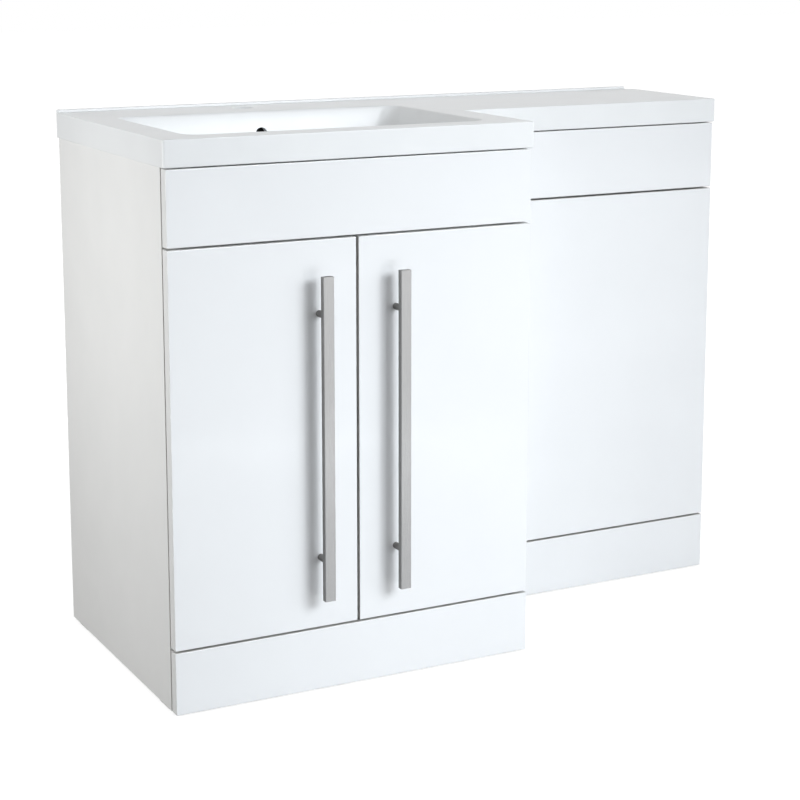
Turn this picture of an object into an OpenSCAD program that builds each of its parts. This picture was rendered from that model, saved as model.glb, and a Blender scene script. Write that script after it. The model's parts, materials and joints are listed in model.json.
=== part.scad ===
// L-shaped bathroom vanity: a deep basin cabinet with two doors beside a shallow
// cabinet that hides a cistern, under one moulded top with a bowl.
// The row frame has its origin on the floor at the centre of the footprint.
// The fronts face -Y, the wall is at +Y and +Z is up. All sizes are in millimetres.

/* [Overall] */
// Width across the top, over both cabinets
total_w = 1100; // [1040:10:1240]
// Width of the deep part of the top, over the basin cabinet
basin_w = 600; // [580:10:700]
// Depth of the top over the basin cabinet
basin_d = 480; // [460:10:560]
// Depth of the top over the cistern cabinet
wc_d = 260; // [230:10:320]
// Height of the worktop surface above the floor
surface_h = 845; // [800:5:950]

/* [Top] */
// Height of the top's outer edge
slab_t = 40; // [30:1:50]
// Thickness of the top between its edge and the bowl
deck_t = 16; // [12:1:20]
// Width of the thick band round the edge of the top
skirt_w = 30; // [27:1:36]
// Height of the lip along the wall
lip_h = 5; // [3:1:12]
// Thickness of the lip along the wall
lip_t = 8; // [5:1:14]
// Radius of the top's corners in plan
corner_r = 4; // [2:1:10]
// Radius of the top's corner at the wall, beside the end of the lip
wall_corner_r = 20; // [10:1:28]
// Overhang of the top past the side panels
side_overhang = 4; // [1:1:8]
// Overhang of the top past the fronts
front_overhang = 2; // [0:1:6]

/* [Bowl] */
// Width of the bowl's mouth
bowl_w = 488; // [400:4:500]
// Depth of the bowl's mouth, front to back
bowl_d = 310; // [260:5:325]
// Distance from the front edge of the top to the bowl
bowl_rim = 48; // [44:1:56]
// Depth of the bowl below the worktop
bowl_depth = 112; // [90:2:125]
// Wall of the bowl
bowl_wall = 12; // [9:1:14]
// How far the bowl's sides lean in on their way down
bowl_lean = 26; // [18:1:36]
// Corner radius of the bowl's mouth
mouth_r = 25; // [15:1:40]
// Radius of the waste hole
waste_r = 22.5; // [20:0.5:24]
// Distance of the waste hole behind the middle of the bowl
waste_back = 30; // [0:5:50]
// Height of the boss round the waste hole
waste_boss_h = 22; // [18:1:30]
// Radius of the tap hole
tap_r = 17.5; // [15:0.5:18.5]
// Distance from the wall edge of the top to the tap hole
tap_back = 54; // [50:1:64]
// Radius of the overflow hole
overflow_r = 10.5; // [8:0.5:12]
// Distance of the overflow hole below the worktop
overflow_drop = 36.5; // [32:0.5:40]

/* [Panels] */
// Thickness of the side panels
side_t = 18; // [15:1:22]
// Thickness of the base and shelf
board_t = 18; // [15:1:22]
// Thickness of the rails
rail_t = 18; // [15:1:20]
// Height of the rear rails
rear_rail_h = 100; // [80:5:120]
// Depth of the shelf, front to back
shelf_d = 250; // [200:10:320]
// Height of the shelf above the base
shelf_rise = 271; // [200:32:331]
// Distance of the shelf behind the cabinet's front edge
shelf_set = 27; // [20:1:60]
// Radius of the shelf pins
shelf_pin_r = 2.5; // [2:0.5:3]

/* [Fronts] */
// Thickness of the doors, fascias, front panel and plinths
front_t = 18; // [16:0.5:20]
// Gap between the fronts and the cabinet's front edges
front_gap = 3.6; // [2.9:0.1:4]
// Height of the plinths
plinth_h = 95; // [80:5:130]
// Height of the fascias
fascia_h = 111; // [100:1:140]
// Gap between one front and the next above it
row_gap = 3; // [2:0.5:4]
// Gap between the two doors
door_gap = 4; // [3:0.5:5]
// Gap between the top and the fascias
top_gap = 2; // [1:0.5:3]

/* [Handles] */
// Length of the handle bars
bar_l = 488; // [300:2:520]
// Width of the handle bars
bar_w = 17; // [12:1:22]
// Thickness of the handle bars
bar_t = 10; // [7:1:12]
// Distance from the door to the front of the bar
handle_reach = 35; // [28:1:45]
// Distance between the two posts of a handle
post_pitch = 370; // [192:2:384]
// Radius of the handle posts
post_r = 5; // [4:0.5:7]
// Distance from the bar's middle to the door's free edge
handle_inset = 61; // [40:1:80]

/* [Hinges] */
// Distance from a hinge to the end of the door
hinge_end = 90; // [70:5:120]
// Radius of the hinge cup
cup_r = 17.5; // [17:0.5:18]
// Depth of the hinge cup in the door
cup_depth = 13; // [12.8:0.1:13.5]
// Radius of the hinge pin
pin_r = 1.5; // [1.2:0.1:1.6]
// Running clearance between the hinge pin and the arm
pin_play = 0.05; // [0.03:0.01:0.08]
// Distance from the hinge pin to the door's edge
pin_edge = 7.3; // [7.1:0.1:7.5]
// Width of the hinge arm inside the cup
arm_w = 8; // [6:0.5:8]

/* [Feet and fittings] */
// Height of the glides
glide_h = 3; // [2:0.5:6]
// Length of the glides
glide_l = 46; // [30:2:60]
// Width of the glides
glide_w = 14; // [10:1:15]
// Radius of the wall fixing holes
wall_hole_r = 3; // [2.5:0.5:4]
// Distance from a rail's end to its wall fixing hole
wall_hole_in = 60; // [50:5:100]
// Radius of the joining screws
screw_r = 2; // [1.75:0.05:2.1]
// Radius of the cams
cam_r = 7.5; // [6:0.5:7.5]

/* [Hidden] */
$fn = 48;
hull_fn = 32;

// small clearances and overlaps of cutters
eps = 0.5;
fit_gap = 0.05;
pin_seat = 0.02;
side_play = 1;
panel_play = 2;
seat_gap = 0.3;
base_rise = 1;
screw_play = 1;

// edges of the footprint
x_left = -total_w / 2;
x_step = x_left + basin_w;
x_right = total_w / 2;
handle_out = handle_reach - front_overhang;
y_front = (handle_out - basin_d) / 2;
y_wall = y_front + basin_d;
y_step = y_wall - wc_d;

// outer faces of the two cabinets
body_x0 = x_left + side_overhang;
body_x1 = x_step - side_overhang;
wc_x0 = body_x1;
wc_x1 = x_right - side_overhang;
mid_x = (body_x0 + body_x1) / 2;

// front to back: face of the fronts, their backs and the front edges of the boards
face_y = y_front + front_overhang;
back_y = face_y + front_t;
board_y = back_y + front_gap;
wc_face_y = y_step + front_overhang;
wc_back_y = wc_face_y + front_t;
wc_board_y = wc_back_y + front_gap;

// heights
carcass_z = surface_h - slab_t;
plinth_z1 = glide_h + plinth_h;
door_z0 = plinth_z1 + row_gap;
fascia_z1 = carcass_z - top_gap;
fascia_z0 = fascia_z1 - fascia_h;
door_z1 = fascia_z0 - row_gap;
base_z0 = plinth_z1 + base_rise;
base_z1 = base_z0 + board_t;
shelf_z0 = base_z1 + shelf_rise;

// inner faces of the cabinets
in_x0 = body_x0 + side_t;
in_x1 = body_x1 - side_t;
wc_in_x0 = wc_x0 + side_t;
wc_in_x1 = wc_x1 - side_t;

// bowl
bowl_x = x_left + basin_w / 2;
bowl_y0 = y_front + bowl_rim;
bowl_y = bowl_y0 + bowl_d / 2;
bowl_floor_z = surface_h - bowl_depth;
level_t = 1;
rim_drop = 2;
middle_r = 20;
floor_r = 30;
floor_round = 14;
floor_run = 19;
floor_fall = 4;
sump_r = 34;
boss_r = 36;
waste_y = bowl_y + waste_back;
waste_z1 = bowl_floor_z - floor_fall;
waste_z0 = waste_z1 - waste_boss_h;
tap_y = y_wall - tap_back;
overflow_z = surface_h - overflow_drop;

// overflow duct behind and under the bowl
duct_w = 44;
duct_wall = 6;
duct_depth = 14;
duct_y1 = bowl_y0 + bowl_d + bowl_wall + duct_depth;
duct_top = overflow_z + overflow_r + duct_wall;
duct_rise = 2;
duct_lap = 8;
duct_low = waste_z0 + duct_rise;
slot_w = 20;
slot_h = 6;

// doors
door_w = (body_x1 - body_x0 - door_gap) / 2;
left_door_x1 = body_x0 + door_w;
handle_x = mid_x - left_door_x1 + handle_inset;
handle_z = (door_z0 + door_z1) / 2;
post_l = handle_reach - bar_t;
hinge_zs = [door_z0 + hinge_end, door_z1 - hinge_end];

// hinge frame: origin on the pin, x into the cabinet, y towards the wall
pin_deep = 9;
pin_x = body_x0 + pin_edge;
pin_y = back_y - pin_deep;
cup_edge = 3;
cup_x = cup_edge + cup_r - pin_edge;
slot_x0 = -3.4;
slot_x1 = 25;
cup_floor_t = 0.6;
slot_floor = pin_deep - cup_depth + cup_floor_t;
slot_play = 0.5;
eye_r = 3;
pin_reach = 4;
flange_t = 1.2;
flange_x0 = -3;
flange_x1 = 30;
flange_half = 28;
cup_screw_z = 24;
cup_screw_set = 4;
cup_screw_x = cup_x + cup_screw_set;
panel_in_x = side_t - pin_edge;
edge_y = board_y - pin_y;
plate_t = 3;
plate_set = 16;
plate_y0 = edge_y + plate_set;
plate_l = 42;
plate_half = 9;
wing_half = 22;
wing_l = 14;
wing_y = plate_y0 + plate_l / 2;
plate_screw_z = 16;
arm_x0 = panel_in_x + plate_t;
arm_h = 5.4;
arm_t = 2.6;
hook_lap = 4;
hook_round = 1;
hook_round_in = 1.4;
arm_x1 = arm_x0 + arm_h;
arm_set = 3;
arm_y0 = edge_y + arm_set;
arm_y1 = plate_y0 + plate_l;
arm_body_w = 14;
arm_screw_in = 8;
arm_screw_y = arm_y1 - arm_screw_in;

// pan head and wood screws
head_r = 4;
head_t = 2.5;
bite = 12;

// positions of the fronts' screws
front_screw_in = 45;
spacer_r = 7;
fascia_screw_in = 26;
plinth_screw_drop = 26;
wc_screw_in = 18;
wc_panel_screw_in = 14;
front_rail_lap = 12;
front_rail_z0 = door_z1 - front_rail_lap;
plinth_rail_rise = 7;
plinth_rail_z0 = glide_h + plinth_rail_rise;
wc_rail_rise = 27;
wc_rail_lap = 29;
wc_rail_z0 = glide_h + wc_rail_rise;
wc_rail_z1 = door_z0 + wc_rail_lap;
mid_rail_h = 60;
mid_rail_lap = 48;
mid_rail_z0 = door_z1 - mid_rail_lap;
mid_rail_z1 = mid_rail_z0 + mid_rail_h;
top_rail_d = 60;
top_rail_z0 = carcass_z - rail_t;

// clips of the access fascia
block_w = 30;
block_d = 30;
stud_r = 4;
stud_l = 14;
stud_flange_r = 8;
stud_flange_t = 1.5;
stud_play = 0.08;
socket_r = 6.5;
socket_l = 16;
socket_flange_r = 9;
clip_xs = [wc_in_x0 + block_w / 2, wc_in_x1 - block_w / 2];
clip_in = 16;
clip_zs = [mid_rail_z1 + clip_in, top_rail_z0 - clip_in];
stud_screw_r = 1.75;
stud_head_r = 3.2;
stud_head_t = 2;

// cams and their bolts
cam_in = 34;
cam_t = 12.5;
cam_bolt_r = 3.5;
cam_bolt_side_r = 2.5;
cam_bolt_core_r = 1.5;
cam_bolt_bite = 11;
cam_collar = 16;
cam_slot_w = 1.6;
cam_slot_in = 2;
base_cam_front = 60;
base_cam_wall = 80;
base_cam_ys = [board_y + base_cam_front, y_wall - base_cam_wall];
rear_y0 = y_wall - rail_t;

// bolts that join the two cabinets
bolt_r = 3;
bolt_head_r = 6;
bolt_head_t = 1.5;
bolt_front = 55;
bolt_wall = 45;
bolt_low = 50;
bolt_high = 150;
bolt_ys = [wc_board_y + bolt_front, y_wall - bolt_wall];
bolt_zs = [base_z1 + bolt_low, carcass_z - bolt_high];

// shelf pins
pin_bite = 9;
pin_out = 8;
shelf_pin_in = 45;
shelf_pin_ys = [board_y + shelf_set + shelf_pin_in, board_y + shelf_set + shelf_d - shelf_pin_in];
shelf_hole_pitch = 32;

// bumpers
bumper_r = 4;
bumper_t = front_gap - seat_gap;
bumper_in = 20;

white = [0.95, 0.95, 0.96];
carcass_white = [0.92, 0.92, 0.91];
steel = [0.70, 0.70, 0.70];
zinc = [0.62, 0.63, 0.65];

// Box between two corners
module box(low, high) {
    translate(low) cube(high - low);
}

// Flat outline of a rectangle with round corners
module round_rect(low, high, r) {
    translate([low[0] + r, low[1]]) square([high[0] - low[0] - 2 * r, high[1] - low[1]]);
    translate([low[0], low[1] + r]) square([high[0] - low[0], high[1] - low[1] - 2 * r]);
    for (x = [low[0] + r, high[0] - r], y = [low[1] + r, high[1] - r])
        translate([x, y]) circle(r);
}

// Cylinder along Y from y0 to y1
module rod_y(x, y0, y1, z, r) {
    translate([x, y0, z]) rotate([-90, 0, 0]) cylinder(h = y1 - y0, r = r);
}

// Cylinder along X from x0 to x1
module rod_x(x0, x1, y, z, r) {
    translate([x0, y, z]) rotate([0, 90, 0]) cylinder(h = x1 - x0, r = r);
}

// One level of the bowl, drawn in by lean and grown by wall
module bowl_level(z, lean, r, wall) {
    w = bowl_w / 2 - lean + wall;
    d = bowl_d / 2 - lean + wall;
    translate([bowl_x, bowl_y, z]) linear_extrude(level_t)
        round_rect([-w, -d], [w, d], r + wall, $fn = hull_fn);
}

// Space inside the bowl when wall is 0, or its outside when wall is its thickness
module bowl_form(wall) {
    hull() {
        bowl_level(surface_h - (wall > 0 ? rim_drop : 0), 0, mouth_r, wall);
        bowl_level(bowl_floor_z + floor_round - wall / 2, bowl_lean, mouth_r + middle_r, wall);
        bowl_level(bowl_floor_z - wall, bowl_lean + floor_run, mouth_r + floor_r, wall);
        translate([bowl_x, waste_y, waste_z1 - wall]) cylinder(h = level_t, r = sump_r + wall, $fn = hull_fn);
    }
}

// Outline of the L-shaped top, taken in by inset, with radius end_r at its far wall corner
module top_outline(inset, r, end_r) {
    join_x = x_step - inset - 2 * skirt_w;
    far = [x_right - inset, y_wall - inset];
    difference() {
        union() {
            round_rect([x_left + inset, y_front + inset], [x_step - inset, far[1]], r);
            round_rect([join_x, y_step + inset], far, r);
            translate([join_x, far[1] - skirt_w]) square([3 * skirt_w, skirt_w]);
        }
        translate([far[0] - end_r, far[1] - end_r]) difference() {
            square(end_r + eps);
            circle(end_r);
        }
    }
}

module basin_top() {
    color("white") difference() {
        union() {
            difference() {
                translate([0, 0, carcass_z]) linear_extrude(slab_t) top_outline(0, corner_r, wall_corner_r);
                translate([0, 0, carcass_z - eps])
                    linear_extrude(slab_t - deck_t + eps) top_outline(skirt_w, corner_r, corner_r);
            }
            box([x_left + corner_r, y_wall - lip_t, surface_h],
                [x_right - wall_corner_r, y_wall, surface_h + lip_h]);
            bowl_form(bowl_wall);
            translate([bowl_x, waste_y, waste_z0]) cylinder(h = waste_boss_h, r = boss_r);
        }
        bowl_form(0);
        translate([bowl_x, waste_y, waste_z0 - eps]) cylinder(h = waste_boss_h + bowl_depth, r = waste_r);
        translate([bowl_x, tap_y, carcass_z]) cylinder(h = slab_t + eps, r = tap_r);
        rod_y(bowl_x, bowl_y, duct_y1, overflow_z, overflow_r);
        box([bowl_x - slot_w / 2, waste_y, duct_low + duct_wall],
            [bowl_x + slot_w / 2, waste_y + boss_r + eps, duct_low + duct_wall + slot_h]);
    }
}

module overflow_duct() {
    half = duct_w / 2;
    channel = half - duct_wall;
    leg_z1 = bowl_floor_z;
    color("whitesmoke") difference() {
        union() {
            box([bowl_x - half, waste_y + boss_r - duct_lap, duct_low], [bowl_x + half, duct_y1, leg_z1]);
            box([bowl_x - half, bowl_y + bowl_d / 4, leg_z1 - eps], [bowl_x + half, duct_y1, duct_top]);
        }
        bowl_form(bowl_wall);
        translate([bowl_x, waste_y, waste_z0 - eps]) cylinder(h = waste_boss_h + eps, r = boss_r);
        box([bowl_x - channel, waste_y, duct_low + duct_wall],
            [bowl_x + channel, duct_y1 - duct_wall, leg_z1]);
        box([bowl_x - channel, bowl_y, leg_z1 - eps],
            [bowl_x + channel, duct_y1 - duct_wall, duct_top - duct_wall]);
    }
}

// Cams and their bolts. Each row is the board end's x, the way into the board, the bolt's y and z,
// 0 where the cam turns about Z or 90 where it turns about Y, and the board's thickness
function end_cams(x0, x1, y, z, turn, t) = [[x0, 1, y, z, turn, t], [x1, -1, y, z, turn, t]];
base_cams = [for (y = base_cam_ys) each end_cams(in_x0, in_x1, y, (base_z0 + base_z1) / 2, 0, board_t)];
front_rail_cams = end_cams(in_x0, in_x1, board_y + rail_t / 2, (front_rail_z0 + carcass_z) / 2, 90, rail_t);
rear_top_cams = end_cams(in_x0, in_x1, rear_y0 + rail_t / 2, carcass_z - rear_rail_h / 2, 90, rail_t);
rear_bottom_cams = end_cams(in_x0, in_x1, rear_y0 + rail_t / 2, base_z1 + rear_rail_h / 2, 90, rail_t);
plinth_rail_cams = end_cams(in_x0, in_x1, board_y + rail_t / 2, (plinth_rail_z0 + base_z0) / 2, 90, rail_t);
basin_cams = concat(base_cams, front_rail_cams, rear_top_cams, rear_bottom_cams, plinth_rail_cams);
wc_top_cams = end_cams(wc_in_x0, wc_in_x1, wc_board_y + top_rail_d / 2, top_rail_z0 + rail_t / 2, 0, rail_t);
wc_mid_cams = end_cams(wc_in_x0, wc_in_x1, wc_board_y + rail_t / 2, mid_rail_z0 + mid_rail_h / 2, 90, rail_t);
wc_rear_cams = end_cams(wc_in_x0, wc_in_x1, rear_y0 + rail_t / 2, carcass_z - rear_rail_h / 2, 90, rail_t);
wc_plinth_z = (wc_rail_z0 + wc_rail_z1) / 2;
wc_plinth_cams = end_cams(wc_in_x0, wc_in_x1, wc_board_y + rail_t / 2, wc_plinth_z, 90, rail_t);
wc_cams = concat(wc_top_cams, wc_mid_cams, wc_rear_cams, wc_plinth_cams);

// Place of a cam's mouth: the underside of a flat board, or the wall side of an upright one
module at_cam(c) {
    translate([c[0] + c[1] * cam_in, c[2], c[3]]) rotate([c[4], 0, 0])
        translate([0, 0, -c[5] / 2]) children();
}

// Bore for the bolt, from the board's end to its cam
module cam_bolt_bore(c) {
    x0 = c[1] > 0 ? c[0] : c[0] - cam_in;
    rod_x(x0, x0 + cam_in, c[2], c[3], cam_bolt_r + fit_gap);
}

// Threaded end of the bolt inside the side panel, widened by play
module cam_side_rod(c, play) {
    x0 = c[1] > 0 ? c[0] - cam_bolt_bite : c[0];
    rod_x(x0, x0 + cam_bolt_bite, c[2], c[3], cam_bolt_side_r + play);
}

module cam_cuts(list) {
    for (c = list) {
        at_cam(c) translate([0, 0, -eps]) cylinder(h = cam_t + eps, r = cam_r + fit_gap);
        cam_bolt_bore(c);
    }
}

module side_cuts(list, sense) {
    for (c = list) if (c[1] == sense) cam_side_rod(c, fit_gap);
}

// Row of holes for the shelf pins, open on the inner face at x, cut towards sense
module shelf_holes(x, sense) {
    for (y = shelf_pin_ys, k = [-1:1])
        rod_x(min(x, x + sense * pin_bite), max(x, x + sense * pin_bite), y,
              shelf_z0 - shelf_pin_r + k * shelf_hole_pitch, shelf_pin_r + fit_gap);
}

// Hinge frames: side 0 is the left door and side 1 the right door
module at_hinges(side) {
    for (z = hinge_zs)
        if (side == 0) translate([pin_x, pin_y, z]) children();
        else translate([body_x0 + body_x1 - pin_x, pin_y, z]) mirror([1, 0, 0]) children();
}

module mirror_middle(side) {
    if (side == 0) children();
    else translate([2 * mid_x, 0, 0]) mirror([1, 0, 0]) children();
}

module plate_screw_holes() {
    for (s = [-1, 1]) rod_x(panel_in_x - bite, panel_in_x, wing_y, s * plate_screw_z, screw_r + fit_gap);
}

// Side panel between two x values, y0 and the wall
module side_board(x0, x1, y0) {
    box([x0, y0, glide_h], [x1, y_wall, carcass_z]);
}

module left_side_panel() {
    color(carcass_white) difference() {
        side_board(body_x0, in_x0, board_y);
        side_cuts(basin_cams, 1);
        shelf_holes(in_x0, -1);
        at_hinges(0) plate_screw_holes();
    }
}

module middle_side_panel() {
    color(carcass_white) difference() {
        side_board(in_x1, body_x1, board_y);
        side_cuts(basin_cams, -1);
        shelf_holes(in_x1, 1);
        at_hinges(1) plate_screw_holes();
        bolt_holes();
    }
}

module base_panel() {
    color(carcass_white) difference() {
        box([in_x0, board_y, base_z0], [in_x1, rear_y0, base_z1]);
        cam_cuts(base_cams);
    }
}

module shelf() {
    color(carcass_white)
        box([in_x0 + side_play, board_y + shelf_set, shelf_z0],
            [in_x1 - side_play, board_y + shelf_set + shelf_d, shelf_z0 + board_t]);
}

module shelf_pins() {
    color(steel) for (y = shelf_pin_ys) {
        rod_x(in_x0 - pin_bite, in_x0 + pin_out, y, shelf_z0 - shelf_pin_r, shelf_pin_r);
        rod_x(in_x1 - pin_out, in_x1 + pin_bite, y, shelf_z0 - shelf_pin_r, shelf_pin_r);
    }
}

// Screws of the fixed fronts: [x, back of the front, z]
basin_screw_xs = [in_x0 + front_screw_in, in_x1 - front_screw_in];
wc_screw_xs = [wc_in_x0 + front_screw_in, (wc_in_x0 + wc_in_x1) / 2, wc_in_x1 - front_screw_in];
fascia_screw_zs = [fascia_z0 + fascia_screw_in, fascia_z1 - fascia_screw_in];
fascia_screws = [for (x = basin_screw_xs, z = fascia_screw_zs) [x, back_y, z]];
plinth_screw_z = (plinth_rail_z0 + base_z0) / 2 - plinth_screw_drop;
plinth_screws = [for (x = basin_screw_xs) [x, back_y, plinth_screw_z]];
wc_plinth_screws = [for (x = wc_screw_xs) [x, wc_back_y, wc_rail_z0 + wc_screw_in]];
wc_panel_screw_zs = [wc_rail_z1 - wc_panel_screw_in, mid_rail_z0 + wc_panel_screw_in];
wc_panel_screws = [for (x = wc_screw_xs, z = wc_panel_screw_zs) [x, wc_back_y, z]];
all_front_screws = concat(fascia_screws, plinth_screws, wc_plinth_screws, wc_panel_screws);

// Holes through a rail and part way into a front, for the screws in list
module front_screw_cuts(list) {
    for (s = list)
        rod_y(s[0], s[1] - bite - fit_gap, s[1] + front_gap + rail_t + eps, s[2], screw_r + fit_gap);
}

module front_screws() {
    color(zinc) for (s = all_front_screws) {
        rod_y(s[0], s[1] - bite, s[1] + front_gap + rail_t + eps, s[2], screw_r);
        rod_y(s[0], s[1] + front_gap + rail_t, s[1] + front_gap + rail_t + head_t, s[2], head_r);
    }
}

module front_spacers() {
    color("ivory") for (s = all_front_screws) difference() {
        rod_y(s[0], s[1], s[1] + front_gap, s[2], spacer_r);
        rod_y(s[0], s[1] - eps, s[1] + front_gap + eps, s[2], screw_r + fit_gap);
    }
}

module front_rail() {
    color(carcass_white) difference() {
        box([in_x0, board_y, front_rail_z0], [in_x1, board_y + rail_t, carcass_z]);
        cam_cuts(front_rail_cams);
        front_screw_cuts(fascia_screws);
    }
}

// Through holes for the wall screws, at height z between two x values
module wall_holes(x0, x1, z) {
    for (x = [x0 + wall_hole_in, x1 - wall_hole_in]) rod_y(x, rear_y0 - eps, y_wall + eps, z, wall_hole_r);
}

module rear_top_rail() {
    color(carcass_white) difference() {
        box([in_x0, rear_y0, carcass_z - rear_rail_h], [in_x1, y_wall, carcass_z]);
        cam_cuts(rear_top_cams);
        wall_holes(in_x0, in_x1, carcass_z - rear_rail_h / 2);
    }
}

module rear_bottom_rail() {
    color(carcass_white) difference() {
        box([in_x0, rear_y0, base_z1], [in_x1, y_wall, base_z1 + rear_rail_h]);
        cam_cuts(rear_bottom_cams);
    }
}

module plinth_rail() {
    color(carcass_white) difference() {
        box([in_x0, board_y, plinth_rail_z0], [in_x1, board_y + rail_t, base_z0]);
        cam_cuts(plinth_rail_cams);
        front_screw_cuts(plinth_screws);
    }
}

module basin_fascia() {
    color(white) difference() {
        box([body_x0, face_y, fascia_z0], [body_x1, back_y, fascia_z1]);
        front_screw_cuts(fascia_screws);
    }
}

module basin_plinth() {
    color(white) difference() {
        box([body_x0, face_y, glide_h], [body_x1, back_y, plinth_z1]);
        front_screw_cuts(plinth_screws);
    }
}

module hinge_plates() {
    color(steel) for (side = [0, 1]) at_hinges(side) difference() {
        union() {
            box([panel_in_x, plate_y0, -plate_half], [panel_in_x + plate_t, plate_y0 + plate_l, plate_half]);
            box([panel_in_x, wing_y - wing_l / 2, -wing_half],
                [panel_in_x + plate_t, wing_y + wing_l / 2, wing_half]);
        }
        for (s = [-1, 1])
            rod_x(panel_in_x - eps, panel_in_x + plate_t + eps, wing_y, s * plate_screw_z, screw_r + fit_gap);
        rod_x(panel_in_x - eps, panel_in_x + plate_t + eps, arm_screw_y, 0, screw_r + fit_gap);
    }
}

// Hooked arm: an eye on the pin, a hook round the panel's edge and a body on the plate
module hinge_arms() {
    bend_x = arm_x1 - arm_t;
    hook = [
        [0, -eye_r], [9, -2.6], [14.5, -0.8], [arm_x1 - hook_round, 3], [arm_x1, 8], [arm_x1, arm_y0 + hook_lap],
        [bend_x, arm_y0 + hook_lap], [bend_x, 8], [bend_x - hook_round_in, 4.2], [12, 1.7], [8, 1.2], [0, eye_r]
    ];
    color(steel) for (side = [0, 1]) at_hinges(side) difference() {
        union() {
            translate([0, 0, -arm_w / 2]) {
                cylinder(h = arm_w, r = eye_r);
                linear_extrude(arm_w) polygon(hook);
            }
            box([bend_x, arm_y0, -arm_body_w / 2], [arm_x1, plate_y0, arm_body_w / 2]);
            box([arm_x0, plate_y0, -arm_body_w / 2], [arm_x1, arm_y1, arm_body_w / 2]);
        }
        translate([0, 0, -arm_w]) cylinder(h = 2 * arm_w, r = pin_r + pin_play);
        rod_x(arm_x0 - eps, arm_x1 + eps, arm_screw_y, 0, screw_r + fit_gap);
    }
}

module hinge_plate_screws() {
    color(zinc) for (side = [0, 1]) at_hinges(side) for (s = [-1, 1]) {
        rod_x(panel_in_x - bite, panel_in_x + plate_t + eps, wing_y, s * plate_screw_z, screw_r);
        rod_x(panel_in_x + plate_t, panel_in_x + plate_t + head_t, wing_y, s * plate_screw_z, head_r);
    }
}

module hinge_arm_screws() {
    color(zinc) for (side = [0, 1]) at_hinges(side) {
        rod_x(panel_in_x + seat_gap, arm_x1 + eps, arm_screw_y, 0, screw_r);
        rod_x(arm_x1, arm_x1 + head_t, arm_screw_y, 0, head_r);
    }
}

module bolt_holes() {
    for (y = bolt_ys, z = bolt_zs) rod_x(in_x1 - eps, wc_in_x0 + eps, y, z, bolt_r + fit_gap);
}

module cistern_left_panel() {
    color(carcass_white) difference() {
        side_board(wc_x0, wc_in_x0, wc_board_y);
        side_cuts(wc_cams, 1);
        bolt_holes();
    }
}

module cistern_right_panel() {
    color(carcass_white) difference() {
        side_board(wc_in_x1, wc_x1, wc_board_y);
        side_cuts(wc_cams, -1);
    }
}

module cistern_top_rail() {
    color(carcass_white) difference() {
        box([wc_in_x0, wc_board_y, top_rail_z0], [wc_in_x1, wc_board_y + top_rail_d, carcass_z]);
        cam_cuts(wc_top_cams);
    }
}

module cistern_middle_rail() {
    color(carcass_white) difference() {
        box([wc_in_x0, wc_board_y, mid_rail_z0], [wc_in_x1, wc_board_y + rail_t, mid_rail_z1]);
        cam_cuts(wc_mid_cams);
        front_screw_cuts(wc_panel_screws);
    }
}

module cistern_rear_rail() {
    color(carcass_white) difference() {
        box([wc_in_x0, rear_y0, carcass_z - rear_rail_h], [wc_in_x1, y_wall, carcass_z]);
        cam_cuts(wc_rear_cams);
        wall_holes(wc_in_x0, wc_in_x1, carcass_z - rear_rail_h / 2);
    }
}

module cistern_plinth_rail() {
    color(carcass_white) difference() {
        box([wc_in_x0, wc_board_y, wc_rail_z0], [wc_in_x1, wc_board_y + rail_t, wc_rail_z1]);
        cam_cuts(wc_plinth_cams);
        front_screw_cuts(wc_panel_screws);
        front_screw_cuts(wc_plinth_screws);
    }
}

module cistern_front_panel() {
    color(white) difference() {
        box([wc_x0 + panel_play, wc_face_y, door_z0], [wc_x1, wc_back_y, door_z1]);
        front_screw_cuts(wc_panel_screws);
    }
}

module cistern_plinth() {
    color(white) difference() {
        box([wc_x0 + panel_play, wc_face_y, glide_h], [wc_x1, wc_back_y, plinth_z1]);
        front_screw_cuts(wc_plinth_screws);
    }
}

module cabinet_bolts() {
    color(zinc) for (y = bolt_ys, z = bolt_zs) {
        rod_x(in_x1 - eps, wc_in_x0 + eps, y, z, bolt_r);
        rod_x(in_x1 - bolt_head_t, in_x1, y, z, bolt_head_r);
        rod_x(wc_in_x0, wc_in_x0 + bolt_head_t, y, z, bolt_head_r);
    }
}

// Glide pads under the four upright panels
module glides() {
    front_in = 12;
    wall_in = 25;
    corners = [[body_x0, board_y], [in_x1, board_y], [wc_x0, wc_board_y], [wc_in_x1, wc_board_y]];
    color("dimgray") for (p = corners) for (y = [p[1] + front_in, y_wall - wall_in - glide_l])
        translate([p[0] + (side_t - glide_w) / 2, y, 0]) cube([glide_w, glide_l, glide_h]);
}

module cams() {
    color(zinc) for (c = concat(basin_cams, wc_cams)) difference() {
        at_cam(c) cylinder(h = cam_t, r = cam_r);
        rod_x(c[0] + c[1] * cam_in - cam_r, c[0] + c[1] * cam_in + cam_r, c[2], c[3], cam_bolt_side_r);
        at_cam(c) translate([cam_slot_in - cam_r, -cam_slot_w / 2, -eps])
            cube([2 * (cam_r - cam_slot_in), cam_slot_w, cam_slot_in]);
    }
}

module cam_bolts() {
    color(zinc) for (c = concat(basin_cams, wc_cams)) {
        cam_side_rod(c, 0);
        x0 = c[1] > 0 ? c[0] : c[0] - cam_collar;
        rod_x(x0, x0 + cam_collar, c[2], c[3], cam_bolt_r);
        tip = c[0] + c[1] * (cam_in - cam_slot_in);
        rod_x(min(c[0], tip), max(c[0], tip), c[2], c[3], cam_bolt_core_r);
    }
}

module clip_blocks() {
    color(carcass_white) for (x = clip_xs) difference() {
        box([x - block_w / 2, wc_board_y, mid_rail_z1], [x + block_w / 2, wc_board_y + block_d, top_rail_z0]);
        for (z = clip_zs) rod_y(x, wc_board_y - eps, wc_board_y + socket_l + fit_gap, z, socket_r + fit_gap);
    }
}

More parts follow.
